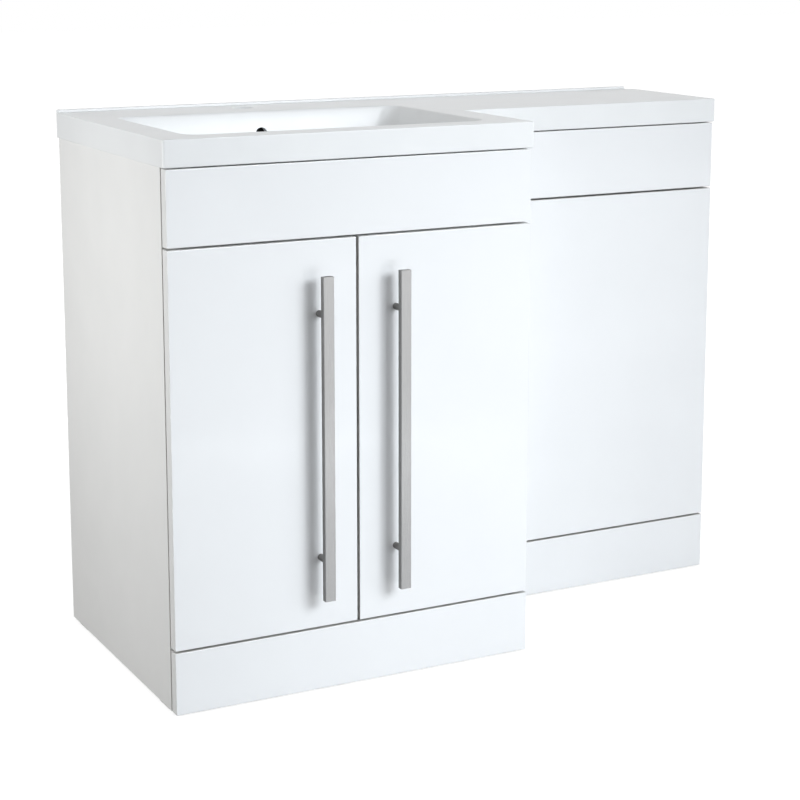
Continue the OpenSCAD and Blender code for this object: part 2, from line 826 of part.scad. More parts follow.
module clip_sockets() {
    lip_y = wc_back_y + stud_flange_t + seat_gap;
    color("ivory") for (x = clip_xs, z = clip_zs) difference() {
        union() {
            rod_y(x, lip_y, wc_board_y, z, socket_flange_r);
            rod_y(x, wc_board_y - eps, wc_board_y + socket_l, z, socket_r);
        }
        rod_y(x, lip_y - eps, wc_back_y + stud_l + seat_gap, z, stud_r + stud_play);
    }
}

module access_fascia() {
    color(white) difference() {
        box([wc_x0 + panel_play, wc_face_y, fascia_z0], [wc_x1, wc_back_y, fascia_z1]);
        for (x = clip_xs, z = clip_zs) rod_y(x, wc_back_y - bite, wc_back_y + eps, z, stud_screw_r + fit_gap);
    }
}

module clip_studs() {
    color("ivory") for (x = clip_xs, z = clip_zs) difference() {
        union() {
            rod_y(x, wc_back_y, wc_back_y + stud_flange_t, z, stud_flange_r);
            rod_y(x, wc_back_y, wc_back_y + stud_l, z, stud_r);
        }
        rod_y(x, wc_back_y - eps, wc_back_y + stud_l + eps, z, stud_screw_r + fit_gap);
        rod_y(x, wc_back_y + stud_l - stud_head_t, wc_back_y + stud_l + eps, z, stud_head_r);
    }
}

module clip_stud_screws() {
    color(zinc) for (x = clip_xs, z = clip_zs) {
        rod_y(x, wc_back_y - bite + screw_play, wc_back_y + stud_l - eps, z, stud_screw_r);
        rod_y(x, wc_back_y + stud_l - stud_head_t, wc_back_y + stud_l - seat_gap, z, stud_head_r - fit_gap);
    }
}

// Door with its cup holes and handle screw holes, drawn on the left and mirrored for side 1
module door(side) {
    color(white) difference() {
        mirror_middle(side) box([body_x0, face_y, door_z0], [left_door_x1, back_y, door_z1]);
        at_hinges(side) {
            rod_y(cup_x, pin_deep - cup_depth - fit_gap, pin_deep + eps, 0, cup_r + fit_gap);
            for (s = [-1, 1])
                rod_y(cup_screw_x, pin_deep - bite, pin_deep + eps, s * cup_screw_z, stud_screw_r + fit_gap);
        }
        at_posts(side) rod_y(0, face_y - eps, back_y + eps, 0, screw_r + fit_gap);
    }
}

// Centres of a handle's two posts, in x and z
module at_posts(side) {
    x = side == 0 ? mid_x - handle_x : mid_x + handle_x;
    for (s = [-1, 1]) translate([x, 0, handle_z + s * post_pitch / 2]) children();
}

module handle_bar(side) {
    x = side == 0 ? mid_x - handle_x : mid_x + handle_x;
    color("silver") box([x - bar_w / 2, face_y - handle_reach, handle_z - bar_l / 2],
                        [x + bar_w / 2, face_y - handle_reach + bar_t, handle_z + bar_l / 2]);
}

module handle_posts(side) {
    color("silver") at_posts(side) difference() {
        rod_y(0, face_y - post_l, face_y, 0, post_r);
        rod_y(0, face_y - bite, face_y + eps, 0, screw_r + fit_gap);
    }
}

module handle_screws(side) {
    color(zinc) at_posts(side) {
        rod_y(0, face_y - bite + screw_play, back_y + eps, 0, screw_r);
        rod_y(0, back_y, back_y + head_t, 0, head_r);
    }
}

// Cup with a slot for the arm, a seat for the pin and a flange on the door
module hinge_cups(side) {
    slot_half = arm_w / 2 + slot_play;
    color(steel) at_hinges(side) difference() {
        union() {
            rod_y(cup_x, pin_deep - cup_depth, pin_deep, 0, cup_r);
            box([flange_x0, pin_deep, -flange_half], [flange_x1, pin_deep + flange_t, flange_half]);
        }
        box([slot_x0, slot_floor, -slot_half], [slot_x1, pin_deep + flange_t + eps, slot_half]);
        translate([0, 0, -slot_half - pin_reach])
            cylinder(h = 2 * (slot_half + pin_reach), r = pin_r + pin_seat);
        for (s = [-1, 1])
            rod_y(cup_screw_x, pin_deep - eps, pin_deep + flange_t + eps,
                  s * cup_screw_z, stud_screw_r + fit_gap);
    }
}

module hinge_pins(side) {
    reach = arm_w / 2 + slot_play + pin_reach;
    color("gray") at_hinges(side) translate([0, 0, -reach]) cylinder(h = 2 * reach, r = pin_r);
}

module cup_screws(side) {
    cap_t = 1.2;
    color(zinc) at_hinges(side) for (s = [-1, 1]) {
        rod_y(cup_screw_x, pin_deep - bite + screw_play, pin_deep + flange_t + eps,
              s * cup_screw_z, stud_screw_r);
        rod_y(cup_screw_x, pin_deep + flange_t, pin_deep + flange_t + cap_t, s * cup_screw_z, stud_head_r);
    }
}

// Buffers on the door's free edge, which meet the base and the front rail
module bumpers(side) {
    x = door_gap / 2 + bumper_in;
    color("lightgray") for (z = [(door_z0 + base_z1) / 2, (front_rail_z0 + door_z1) / 2])
        rod_y(side == 0 ? mid_x - x : mid_x + x, back_y, back_y + bumper_t, z, bumper_r);
}

basin_top();
overflow_duct();
left_side_panel();
middle_side_panel();
base_panel();
shelf();
shelf_pins();
front_rail();
rear_top_rail();
rear_bottom_rail();
plinth_rail();
basin_fascia();
basin_plinth();
front_spacers();
front_screws();
hinge_plates();
hinge_arms();
hinge_plate_screws();
hinge_arm_screws();
cistern_left_panel();
cistern_right_panel();
cistern_top_rail();
cistern_middle_rail();
cistern_rear_rail();
cistern_plinth_rail();
cistern_front_panel();
cistern_plinth();
cabinet_bolts();
glides();
cams();
cam_bolts();
clip_blocks();
clip_sockets();
access_fascia();
clip_studs();
clip_stud_screws();
door(0);  // left_door
handle_bar(0);  // left_handle_bar
handle_posts(0);  // left_handle_posts
handle_screws(0);  // left_handle_screws
hinge_cups(0);  // left_hinge_cups
hinge_pins(0);  // left_hinge_pins
cup_screws(0);  // left_cup_screws
bumpers(0);  // left_bumpers
door(1);  // right_door
handle_bar(1);  // right_handle_bar
handle_posts(1);  // right_handle_posts
handle_screws(1);  // right_handle_screws
hinge_cups(1);  // right_hinge_cups
hinge_pins(1);  // right_hinge_pins
cup_screws(1);  // right_cup_screws
bumpers(1);  // right_bumpers
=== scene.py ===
# Looks of an L-shaped bathroom vanity: a moulded top with a bowl on a basin
# cabinet with two doors, beside a shallow cabinet that hides a cistern.
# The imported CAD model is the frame, in metres, with the wall at +Y and the floor at z 0.
import json
import math
from collections import namedtuple
import bmesh
import bpy
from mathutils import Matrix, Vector

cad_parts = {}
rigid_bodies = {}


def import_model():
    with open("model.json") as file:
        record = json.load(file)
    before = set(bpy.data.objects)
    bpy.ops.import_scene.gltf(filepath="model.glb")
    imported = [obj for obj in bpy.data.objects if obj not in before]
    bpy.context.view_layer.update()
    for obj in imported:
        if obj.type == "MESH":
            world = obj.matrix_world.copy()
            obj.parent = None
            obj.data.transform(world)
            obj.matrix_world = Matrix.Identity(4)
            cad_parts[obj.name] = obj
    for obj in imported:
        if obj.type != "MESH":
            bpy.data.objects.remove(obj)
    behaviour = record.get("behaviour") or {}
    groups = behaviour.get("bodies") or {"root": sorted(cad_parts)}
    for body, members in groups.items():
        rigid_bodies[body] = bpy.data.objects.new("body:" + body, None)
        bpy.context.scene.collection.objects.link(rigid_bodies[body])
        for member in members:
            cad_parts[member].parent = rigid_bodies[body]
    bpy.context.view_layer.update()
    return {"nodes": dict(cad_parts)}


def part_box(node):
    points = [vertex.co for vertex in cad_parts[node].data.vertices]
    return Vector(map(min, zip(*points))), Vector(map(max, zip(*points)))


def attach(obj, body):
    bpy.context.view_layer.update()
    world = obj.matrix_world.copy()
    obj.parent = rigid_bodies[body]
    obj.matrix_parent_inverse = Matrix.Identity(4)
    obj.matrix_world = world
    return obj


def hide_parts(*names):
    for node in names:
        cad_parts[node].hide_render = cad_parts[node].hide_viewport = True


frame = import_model()

# Distances in metres under which points count as the same place, and as one point
NEAR = 0.0002
DOUBLES = 0.000005
# Least angle of a corner, in radians, and least part of a normal along the axis that a face looks along
CLEAR_ANGLE = 1.0
FACING = 0.9

# Places that part.scad gives, in metres
SURFACE_Z = 0.845
DECK_Z = 0.829
SKIRT_Z = 0.805
LIP_Z = 0.850
X_LEFT = -0.550
X_STEP = 0.050
X_RIGHT = 0.550
Y_FRONT = -0.2235
Y_STEP = -0.0035
Y_WALL = 0.2565
LIP_T = 0.008
LIP_END_X = 0.530
SKIRT_W = 0.030
CORNER_R = 0.004
WALL_CORNER_R = 0.020
BOWL_X = -0.250
BOWL_Y = -0.0205
BOWL_W = 0.488
BOWL_D = 0.310
WASTE_Y = 0.0095
WASTE_R = 0.0225
BOSS_R = 0.036
BOSS_Z = 0.707
TAP_Y = 0.2025
TAP_R = 0.0175
OVERFLOW_Z = 0.8085
OVERFLOW_R = 0.0105
HINGE_ZS = (0.191, 0.599)
PIN_XS = {"left": -0.5387, "right": 0.0387}
PIN_Y = -0.2125


# Selecting

def deselect():
    """Leaves nothing selected, in object mode."""
    if bpy.context.mode != "OBJECT":
        bpy.ops.object.mode_set(mode="OBJECT")
    bpy.ops.object.select_all(action="DESELECT")


def only(piece):
    """Makes piece the one selected and active object."""
    deselect()
    piece.select_set(True)
    bpy.context.view_layer.objects.active = piece


def edit(piece):
    only(piece)
    bpy.ops.object.mode_set(mode="EDIT")


def done():
    bpy.ops.object.mode_set(mode="OBJECT")


def choose(piece, kind, test):
    """In edit mode, selects the parts of one kind that pass the test, and nothing else."""
    bpy.ops.mesh.select_mode(type=kind)
    bpy.ops.mesh.select_all(action="DESELECT")
    shape = bmesh.from_edit_mesh(piece.data)
    parts = {"VERT": shape.verts, "EDGE": shape.edges, "FACE": shape.faces}[kind]
    for part in parts:
        if test(part):
            part.select_set(True)
    shape.select_flush_mode()
    bmesh.update_edit_mesh(piece.data)


def middle(part):
    """Middle of an edge or face."""
    points = [v.co for v in part.verts]
    return sum(points, Vector()) / len(points)


def near(a, b, reach=NEAR):
    return abs(a - b) < reach


def flat_at(part, axis, value):
    """True if every corner of an edge or face has this coordinate."""
    return all(near(v.co[axis], value) for v in part.verts)


def is_corner(edge):
    """True for an edge where two faces meet at a clear angle."""
    return len(edge.link_faces) == 2 and edge.calc_face_angle() > CLEAR_ANGLE


def runs_along(edge, axis):
    """True for an edge that runs along one axis."""
    one, other = (v.co for v in edge.verts)
    return all(near(one[a], other[a]) for a in range(3) if a != axis)


# Making and finishing shapes

def add_box(name, low, high):
    deselect()
    low, high = Vector(low), Vector(high)
    bpy.ops.mesh.primitive_cube_add(size=1, location=(low + high) / 2, scale=high - low)
    return placed(name)


def add_rod(name, start, end, radius, sides):
    """Cylinder from start to end, which differ along one axis."""
    deselect()
    start, end = Vector(start), Vector(end)
    way = end - start
    turn = way.to_track_quat("Z", "Y").to_euler()
    bpy.ops.mesh.primitive_cylinder_add(
        vertices=sides, radius=radius, depth=way.length, location=(start + end) / 2, rotation=turn)
    return placed(name)


def settle():
    """Moves the place of the selected object into its mesh."""
    bpy.ops.object.transform_apply(location=True, rotation=True, scale=True)


def placed(name):
    """Gives the new object its name, and settles it."""
    piece = bpy.context.object
    piece.name = name
    piece.data.name = name
    settle()
    return piece


def join(name, pieces):
    only(pieces[0])
    for piece in pieces[1:]:
        piece.select_set(True)
    if len(pieces) > 1:
        bpy.ops.object.join()
    pieces[0].name = name
    pieces[0].data.name = name
    return pieces[0]


def put_in_scene(thing):
    bpy.context.scene.collection.objects.link(thing)


def copy_of(piece, name):
    """Copy with its own mesh."""
    twin = piece.copy()
    twin.data = piece.data.copy()
    twin.name = name
    twin.data.name = name
    twin.parent = None
    put_in_scene(twin)
    for key in list(twin.keys()):
        if key.startswith("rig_"):
            del twin[key]
    return twin


def apply_all(piece):
    only(piece)
    for modifier in list(piece.modifiers):
        bpy.ops.object.modifier_apply(modifier=modifier.name)


def cut(piece, cutters, operation="DIFFERENCE"):
    """Takes the cutters' space out of piece, or adds it with UNION, and removes them."""
    tool = join(piece.name + "_cutter", cutters)
    modifier = piece.modifiers.new("cut", "BOOLEAN")
    modifier.operation = operation
    modifier.solver = "EXACT"
    modifier.object = tool
    apply_all(piece)
    bpy.data.objects.remove(tool)
    return piece


def round_edges(piece, width, steps=2, angle=50):
    """Rounds every edge sharper than angle."""
    modifier = piece.modifiers.new("round", "BEVEL")
    modifier.width = width
    modifier.segments = steps
    modifier.limit_method = "ANGLE"
    modifier.angle_limit = math.radians(angle)
    apply_all(piece)
    return piece


def smooth(piece, angle=40):
    """Smooth shading that keeps the flat faces flat."""
    only(piece)
    bpy.ops.object.shade_smooth_by_angle(angle=math.radians(angle))
    modifier = piece.modifiers.new("flats", "WEIGHTED_NORMAL")
    modifier.keep_sharp = True
    modifier.weight = 90
    apply_all(piece)
    return piece


def bevel(width, steps):
    """In edit mode, rounds the selected edges."""
    bpy.ops.mesh.bevel(offset_type="OFFSET", offset=width, segments=steps, profile=0.5,
                       affect="EDGES", clamp_overlap=True)


def choose_all():
    bpy.ops.mesh.select_all(action="SELECT")


def draw_out(x, y, z):
    """In edit mode, extrudes what is selected by this much."""
    bpy.ops.mesh.extrude_region_move(TRANSFORM_OT_translate={"value": (x, y, z)})


def split_at(axis, value):
    """In edit mode, cuts what is selected at this coordinate."""
    point, way = Vector(), Vector()
    point[axis] = value
    way[axis] = 1.0
    bpy.ops.mesh.bisect(plane_co=point, plane_no=way)


def turn_outward():
    choose_all()
    bpy.ops.mesh.normals_make_consistent(inside=False)


def give(piece, body, node, material=None):
    """Makes the piece move with its body, hides the CAD node it stands in for, and adds the material if one
    is given.
    """
    if material:
        piece.data.materials.append(material)
    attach(piece, body)
    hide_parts(node)


# Node groups that several materials share

VECTOR_SOCKETS = ("Vector", "Stretch", "Normal")


def new_group(name, inputs, outputs):
    """Group with sockets of these names. Each material that uses it gives the values."""
    group = bpy.data.node_groups.new(name, "ShaderNodeTree")
    for way, labels in (("INPUT", inputs), ("OUTPUT", outputs)):
        for label in labels:
            kind = "NodeSocketVector" if label in VECTOR_SOCKETS else "NodeSocketFloat"
            group.interface.new_socket(name=label, in_out=way, socket_type=kind)
    start = group.nodes.new("NodeGroupInput")
    end = group.nodes.new("NodeGroupOutput")
    return group, start, end


def new_node(tree, kind, **levels):
    """Node with these numbers on its inputs."""
    node = tree.nodes.new(kind)
    for label, value in levels.items():
        node.inputs[label].default_value = value
    return node


def wire(tree, *links):
    """Links sockets, given as a node and a socket name for each end."""
    for one, out_name, other, in_name in links:
        tree.links.new(one.outputs[out_name], other.inputs[in_name])


def end_in_bump(group, start, end, height, output):
    """Makes the group's normal from the height that a node puts out."""
    bump = group.nodes.new("ShaderNodeBump")
    wire(group, (height, output, bump, "Height"), (start, "Depth", bump, "Distance"),
         (bump, "Normal", end, "Normal"))


def make_drift():
    """Slow change of a value over the surface, between Low and High."""
    group, start, end = new_group("slow_drift", ("Vector", "Scale", "Low", "High"), ("Value",))
    noise = new_node(group, "ShaderNodeTexNoise", Detail=3.0)
    spread = group.nodes.new("ShaderNodeMapRange")
    spread.inputs["From Min"].default_value = 0.3
    spread.inputs["From Max"].default_value = 0.7
    wire(group, (start, "Vector", noise, "Vector"), (start, "Scale", noise, "Scale"),
         (noise, "Fac", spread, "Value"), (start, "Low", spread, "To Min"),
         (start, "High", spread, "To Max"), (spread, "Result", end, "Value"))
    return group


# Height of the wide waves to that of the fine ones
WIDE_RIPPLE = 5.0


def make_peel():
    """Faint ripple of a sprayed or moulded gloss surface, as a normal."""
    group, start, end = new_group("gloss_ripple", ("Vector", "Scale", "Depth"), ("Normal",))
    fine = new_node(group, "ShaderNodeTexNoise", Detail=1.0)
    wide = new_node(group, "ShaderNodeTexNoise", Scale=14.0, Detail=0.0)
    both = group.nodes.new("ShaderNodeMath")
    both.operation = "MULTIPLY_ADD"
    both.inputs[1].default_value = WIDE_RIPPLE
    wire(group, (start, "Vector", fine, "Vector"), (start, "Vector", wide, "Vector"),
         (start, "Scale", fine, "Scale"), (wide, "Fac", both, 0), (fine, "Fac", both, 2))
    end_in_bump(group, start, end, both, "Value")
    return group


def make_pearl():
    """Fine pebbled texture of board faces, plastics and cast metal, as a normal."""
    group, start, end = new_group("fine_pebble", ("Vector", "Scale", "Depth"), ("Normal", "Mask"))
    cells = group.nodes.new("ShaderNodeTexVoronoi")
    cells.feature = "SMOOTH_F1"
    cells.inputs["Smoothness"].default_value = 0.6
    noise = new_node(group, "ShaderNodeTexNoise", Detail=4.0)
    add = group.nodes.new("ShaderNodeMath")
    add.operation = "ADD"
    for texture in (cells, noise):
        wire(group, (start, "Vector", texture, "Vector"), (start, "Scale", texture, "Scale"))
    wire(group, (cells, "Distance", add, 0), (noise, "Fac", add, 1), (noise, "Fac", end, "Mask"))
    end_in_bump(group, start, end, add, "Value")
    return group


def make_brush():
    """Long fine scratches along Z, as a mask and a normal."""
    inputs = ("Vector", "Stretch", "Scale", "Depth")
    group, start, end = new_group("brushed_lines", inputs, ("Normal", "Mask"))
    longer = group.nodes.new("ShaderNodeVectorMath")
    longer.operation = "MULTIPLY"
    noise = new_node(group, "ShaderNodeTexNoise", Detail=4.0, Roughness=0.7)
    wire(group, (start, "Vector", longer, 0), (start, "Stretch", longer, 1),
         (longer, "Vector", noise, "Vector"), (start, "Scale", noise, "Scale"), (noise, "Fac", end, "Mask"))
    end_in_bump(group, start, end, noise, "Fac")
    return group


DRIFT = make_drift()
PEEL = make_peel()
PEARL = make_pearl()
BRUSH = make_brush()


# Materials

Made = namedtuple("Made", "material tree shader place")


def new_material(name, colour, metallic, roughness, more=None):
    """Principled material with its constants on the shader, and the object coordinates."""
    material = bpy.data.materials.new(name)
    material.use_nodes = True
    tree = material.node_tree
    shader = tree.nodes["Principled BSDF"]
    levels = {"Base Color": (*colour, 1.0), "Metallic": metallic, "Roughness": roughness, **(more or {})}
    for label, value in levels.items():
        shader.inputs[label].default_value = value
    place = tree.nodes.new("ShaderNodeTexCoord")
    return Made(material, tree, shader, place.outputs["Object"])


def use(made, group, **values):
    """Places a shared group with its own values."""
    node = made.tree.nodes.new("ShaderNodeGroup")
    node.node_tree = group
    made.tree.links.new(made.place, node.inputs["Vector"])
    for label, value in values.items():
        node.inputs[label].default_value = value
    return node


def relief(made, group, **values):
    """Places a shared group and takes the shader's normal from it."""
    node = use(made, group, **values)
    wire(made.tree, (node, "Normal", made.shader, "Normal"))
    return node


def vary_gloss(made, scale, low, high):
    """Roughness that drifts between two levels. None of them cross 0.274, where the denoiser leaves marks."""
    wire(made.tree, (use(made, DRIFT, Scale=scale, Low=low, High=high), "Value", made.shader, "Roughness"))


def tint(made, mask, low, high, start=0.3, end=0.7):
    """Base colour that goes from low to high with the mask."""
    ramp = made.tree.nodes.new("ShaderNodeValToRGB")
    for element, position, colour in zip(ramp.color_ramp.elements, (start, end), (low, high)):
        element.position = position
        element.color = (*colour, 1.0)
    made.tree.links.new(mask, ramp.inputs["Fac"])
    wire(made.tree, (ramp, "Color", made.shader, "Base Color"))


def cloud(made, scale, low, high):
    """Base colour that drifts slowly from low to high."""
    tint(made, use(made, DRIFT, Scale=scale, Low=0.0, High=1.0).outputs["Value"], low, high, 0.0, 1.0)


def resin_material():
    """Gloss cast resin of the top, with a faint cloud in its colour."""
    made = new_material("gloss_cast_resin", (0.833, 0.849, 0.863), 0.0, 0.3,
                        {"IOR": 1.5, "Coat Weight": 0.12, "Coat Roughness": 0.12})
    cloud(made, 9.0, (0.820, 0.836, 0.850), (0.846, 0.862, 0.876))
    vary_gloss(made, 22.0, 0.285, 0.36)
    relief(made, PEEL, Scale=120.0, Depth=0.00001)
    return made.material


def lacquer_material():
    """High gloss white of the doors, fascias and plinths, with the ripple of a sprayed coat."""
    made = new_material("gloss_white_lacquer", (0.862, 0.878, 0.900), 0.0, 0.1,
                        {"IOR": 1.5, "Coat Weight": 0.5, "Coat Roughness": 0.04})
    cloud(made, 6.0, (0.852, 0.868, 0.890), (0.872, 0.888, 0.910))
    vary_gloss(made, 30.0, 0.08, 0.13)
    relief(made, PEEL, Scale=280.0, Depth=0.000008)
    return made.material


def lacquer_edge_material():
    """The same lacquer round the edges of a front, a little thinner and warmer."""
    made = new_material("gloss_white_edge", (0.80, 0.805, 0.805), 0.0, 0.16, {"IOR": 1.5})
    cloud(made, 24.0, (0.785, 0.79, 0.79), (0.815, 0.82, 0.82))
    vary_gloss(made, 50.0, 0.13, 0.20)
    relief(made, PEEL, Scale=280.0, Depth=0.00001)
    return made.material


def gap_shade_material():
    """Pale grey painted shade on the edges that meet across a gap: it darkens the gaps as their shade would.
    """
    made = new_material("painted_gap_shade_grey", (0.50, 0.495, 0.485), 0.0, 0.34)
    cloud(made, 30.0, (0.48, 0.475, 0.463), (0.52, 0.515, 0.505))
    vary_gloss(made, 60.0, 0.28, 0.40)
    relief(made, PEARL, Scale=1300.0, Depth=0.00003)
    return made.material


def board_material():
    """Satin white melamine face of the carcass boards."""
    made = new_material("satin_white_board", (0.84, 0.84, 0.835), 0.0, 0.38)
    cloud(made, 11.0, (0.825, 0.826, 0.822), (0.848, 0.848, 0.844))
    vary_gloss(made, 40.0, 0.33, 0.42)
    relief(made, PEARL, Scale=1100.0, Depth=0.00003)
    return made.material


def band_material():
    """Edge band of the boards: smoother and a little warmer than their faces."""
    made = new_material("white_edge_band", (0.80, 0.795, 0.78), 0.0, 0.3)
    grain = relief(made, BRUSH, Stretch=(1.0, 1.0, 0.03), Scale=1200.0, Depth=0.000004)
    tint(made, grain.outputs["Mask"], (0.795, 0.79, 0.775), (0.807, 0.802, 0.787))
    vary_gloss(made, 60.0, 0.285, 0.36)
    return made.material


def core_material():
    """Chipboard core that shows inside drilled holes."""
    made = new_material("chipboard_core", (0.48, 0.36, 0.22), 0.0, 0.85)
    chips = new_node(made.tree, "ShaderNodeTexVoronoi", Scale=900.0, Randomness=1.0)
    made.tree.links.new(made.place, chips.inputs["Vector"])
    tint(made, chips.outputs["Distance"], (0.30, 0.21, 0.12), (0.62, 0.49, 0.33), 0.1, 0.8)
    bump = new_node(made.tree, "ShaderNodeBump", Distance=0.0003)
    wire(made.tree, (chips, "Distance", bump, "Height"), (bump, "Normal", made.shader, "Normal"))
    return made.material


def brushed_material(name, dark, pale, smoothest, roughest, rim):
    """Satin metal of the handles, brushed along the bar. The rim level darkens it at a flat angle."""
    middle_tone = tuple((d + p) / 2 for d, p in zip(dark, pale))
    made = new_material(name, middle_tone, 1.0, (smoothest + roughest) / 2,
                        {"Anisotropic": 0.4, "Specular Tint": (rim, rim, rim, 1.0)})
    lines = relief(made, BRUSH, Stretch=(1.0, 1.0, 0.012), Scale=3200.0, Depth=0.000015)
    tint(made, lines.outputs["Mask"], dark, pale)
    vary_gloss(made, 45.0, smoothest, roughest)
    return made.material


def steel_material():
    """Nickel plated pressed steel of the hinges and shelf pins."""
    made = new_material("plated_steel", (0.66, 0.65, 0.63), 1.0, 0.22)
    cloud(made, 60.0, (0.62, 0.61, 0.59), (0.69, 0.68, 0.66))
    vary_gloss(made, 90.0, 0.16, 0.265)
    relief(made, PEEL, Scale=700.0, Depth=0.00001)
    return made.material


def zinc_material():
    """Dull zinc of the cams, bolts and screws."""
    made = new_material("dull_zinc", (0.50, 0.51, 0.53), 1.0, 0.42)
    pebble = relief(made, PEARL, Scale=1600.0, Depth=0.00004)
    tint(made, pebble.outputs["Mask"], (0.44, 0.45, 0.475), (0.56, 0.57, 0.58))
    vary_gloss(made, 120.0, 0.34, 0.50)
    return made.material


def plastic_material(name, low, high, roughness):
    """Moulded plastic with a fine spark-eroded texture."""
    made = new_material(name, high, 0.0, roughness)
    pebble = relief(made, PEARL, Scale=1400.0, Depth=0.00003)
    tint(made, pebble.outputs["Mask"], low, high)
    vary_gloss(made, 70.0, roughness - 0.06, roughness + 0.08)
    return made.material


def rubber_material():
    """Clear soft plastic of the door buffers."""
    made = new_material("clear_soft_plastic", (0.92, 0.92, 0.90), 0.0, 0.2,
                        {"Transmission Weight": 0.75, "IOR": 1.49})
    relief(made, PEEL, Scale=900.0, Depth=0.00002)
    vary_gloss(made, 200.0, 0.14, 0.26)
    return made.material


RESIN = resin_material()
LACQUER = lacquer_material()
LACQUER_EDGE = lacquer_edge_material()
GAP_SHADE = gap_shade_material()
BOARD = board_material()
BAND = band_material()
CORE = core_material()
BRUSHED = brushed_material("satin_brushed_metal", (0.415, 0.417, 0.421), (0.515, 0.517, 0.521),
                           0.225, 0.27, 1.0)
# Darker metal for the bars' sides and ends and for the posts: its colour is painted shade and painted dark
# reflection, its rougher gloss a ground finish.
PAINTED_SHADE_METAL = brushed_material("metal_with_painted_shade", (0.275, 0.270, 0.264), (0.345, 0.339, 0.332),
                                0.36, 0.46, 0.3)
STEEL = steel_material()
ZINC = zinc_material()
WHITE_PLASTIC = plastic_material("white_moulded_plastic", (0.78, 0.775, 0.75), (0.86, 0.855, 0.83), 0.35)
DARK_PLASTIC = plastic_material("dark_moulded_plastic", (0.035, 0.035, 0.037), (0.06, 0.06, 0.062), 0.5)
RUBBER = rubber_material()


# Moulded top

RING_STEPS = 11
RING_COUNT = 4 * (RING_STEPS + 1)
TAP_SIDES = 40
OVERFLOW_END_Y = 0.1640
TOP_ROUND = 0.0018
SKIRT_ROUND = 0.0016
# Square metres over which only the surface and the deck are
WIDE_AREA = 0.2

# Walls of the bowl from the rim down: height, lean and corner radius
BOWL_LEVELS = [
    (0.8450, -0.0030, 0.0280), (0.8447, -0.0018, 0.0268), (0.8439, -0.0008, 0.0258),
    (0.8427, 0.0001, 0.0250), (0.8412, 0.0008, 0.0250), (0.8300, 0.0042, 0.0280),
    (0.8150, 0.0082, 0.0325), (0.8000, 0.0122, 0.0370), (0.7850, 0.0162, 0.0420),
    (0.7700, 0.0204, 0.0470), (0.7580, 0.0248, 0.0515), (0.7490, 0.0300, 0.0550),
    (0.7430, 0.0360, 0.0580), (0.7388, 0.0440, 0.0600), (0.7365, 0.0530, 0.0620),
]
# Floor towards the waste: height, width, depth, corner radius and how far it has moved to the waste
FLOOR_LEVELS = [
    (0.7354, 0.344, 0.174, 0.0660, 0.15), (0.7342, 0.270, 0.150, 0.0690, 0.45),
    (0.7330, 0.196, 0.132, 0.0650, 0.80),
]
# Sump, waste bore and boss: height and radius
SUMP_LEVELS = [
    (0.7320, 0.0520), (0.7311, 0.0420), (0.7303, 0.0345), (0.7296, 0.0332), (0.7272, 0.0318),
    (0.7266, 0.0305), (0.7263, 0.0245), (0.7260, 0.0233), (0.7252, WASTE_R), (BOSS_Z + 0.0006, WASTE_R),
    (BOSS_Z, WASTE_R + 0.0006), (BOSS_Z, BOSS_R - 0.0008), (BOSS_Z + 0.0008, BOSS_R),
    (0.7158, BOSS_R), (0.7168, 0.0375), (0.7174, 0.0410), (0.7180, 0.0520),
]
# Outside of the bowl from its underside up to the deck, with the same measures as the floor
SHELL_LEVELS = [
    (0.7188, 0.220, 0.150, 0.0740, 0.70), (0.7200, 0.330, 0.190, 0.0760, 0.25),
    (0.7218, 0.404, 0.234, 0.0720, 0.0), (0.7260, 0.430, 0.254, 0.0700, 0.0),
    (0.7330, 0.450, 0.273, 0.0670, 0.0), (0.7420, 0.4600, 0.2820, 0.0590, 0.0),
    (0.7700, 0.4742, 0.2962, 0.0520, 0.0), (0.8000, 0.4894, 0.3114, 0.0450, 0.0),
    (0.8290, 0.5042, 0.3262, 0.0400, 0.0),
]
# Tap hole from its soft rim down: height and radius
TAP_LEVELS = [(SURFACE_Z, TAP_R + 0.0010), (0.8447, TAP_R + 0.0004), (0.8440, TAP_R), (DECK_Z, TAP_R)]
# Slot in the boss for the overflow water: half its width, its depth, bottom and top
WASTE_SLOT = (0.010, 0.040, 0.715, 0.721)


def ring(width, depth, y, z, radius):
    """In edit mode, adds a rectangle of edges with round corners at height z."""
    bpy.ops.mesh.select_mode(type="VERT")
    bpy.ops.mesh.select_all(action="DESELECT")
    bpy.ops.mesh.primitive_plane_add(size=1, location=(BOWL_X, y, z))
    bpy.ops.transform.resize(value=(width, depth, 1.0), center_override=(BOWL_X, y, z))
    bpy.ops.mesh.bevel(offset_type="OFFSET", offset=radius, segments=RING_STEPS, profile=0.5,
                       affect="VERTICES", clamp_overlap=False)
    bpy.ops.mesh.select_linked()
    bpy.ops.mesh.delete(type="ONLY_FACE")


def circle(radius, y, z, sides):
    """In edit mode, adds a circle of edges at height z."""
    bpy.ops.mesh.select_all(action="DESELECT")
    bpy.ops.mesh.primitive_circle_add(vertices=sides, radius=radius, location=(BOWL_X, y, z),
                                      rotation=(0, 0, math.pi / sides))


def in_ring(e, z, width, depth, y):
    """True for an open edge at height z inside a rectangle round the bowl's x and y."""
    if len(e.link_faces) > 1:
        return False
    return all(near(v.co.z, z, 0.00005) and abs(v.co.x - BOWL_X) < width / 2 + NEAR
               and abs(v.co.y - y) < depth / 2 + NEAR for v in e.verts)


def bridge(piece, one, other):
    """Joins two rings of edges with a wall of faces."""
    choose(piece, "EDGE", lambda e: in_ring(e, *one) or in_ring(e, *other))
    bpy.ops.mesh.bridge_edge_loops()


def outline_of_top(piece):
    """Flat L with sharp corners."""
    choose(piece, "FACE", lambda f: True)
    split_at(1, Y_STEP)
    choose(piece, "EDGE", lambda e: flat_at(e, 0, X_STEP) and middle(e).y > Y_STEP)
    draw_out(X_RIGHT - X_STEP, 0, 0)
    choose_all()
    bpy.ops.mesh.dissolve_limited(angle_limit=math.radians(1))


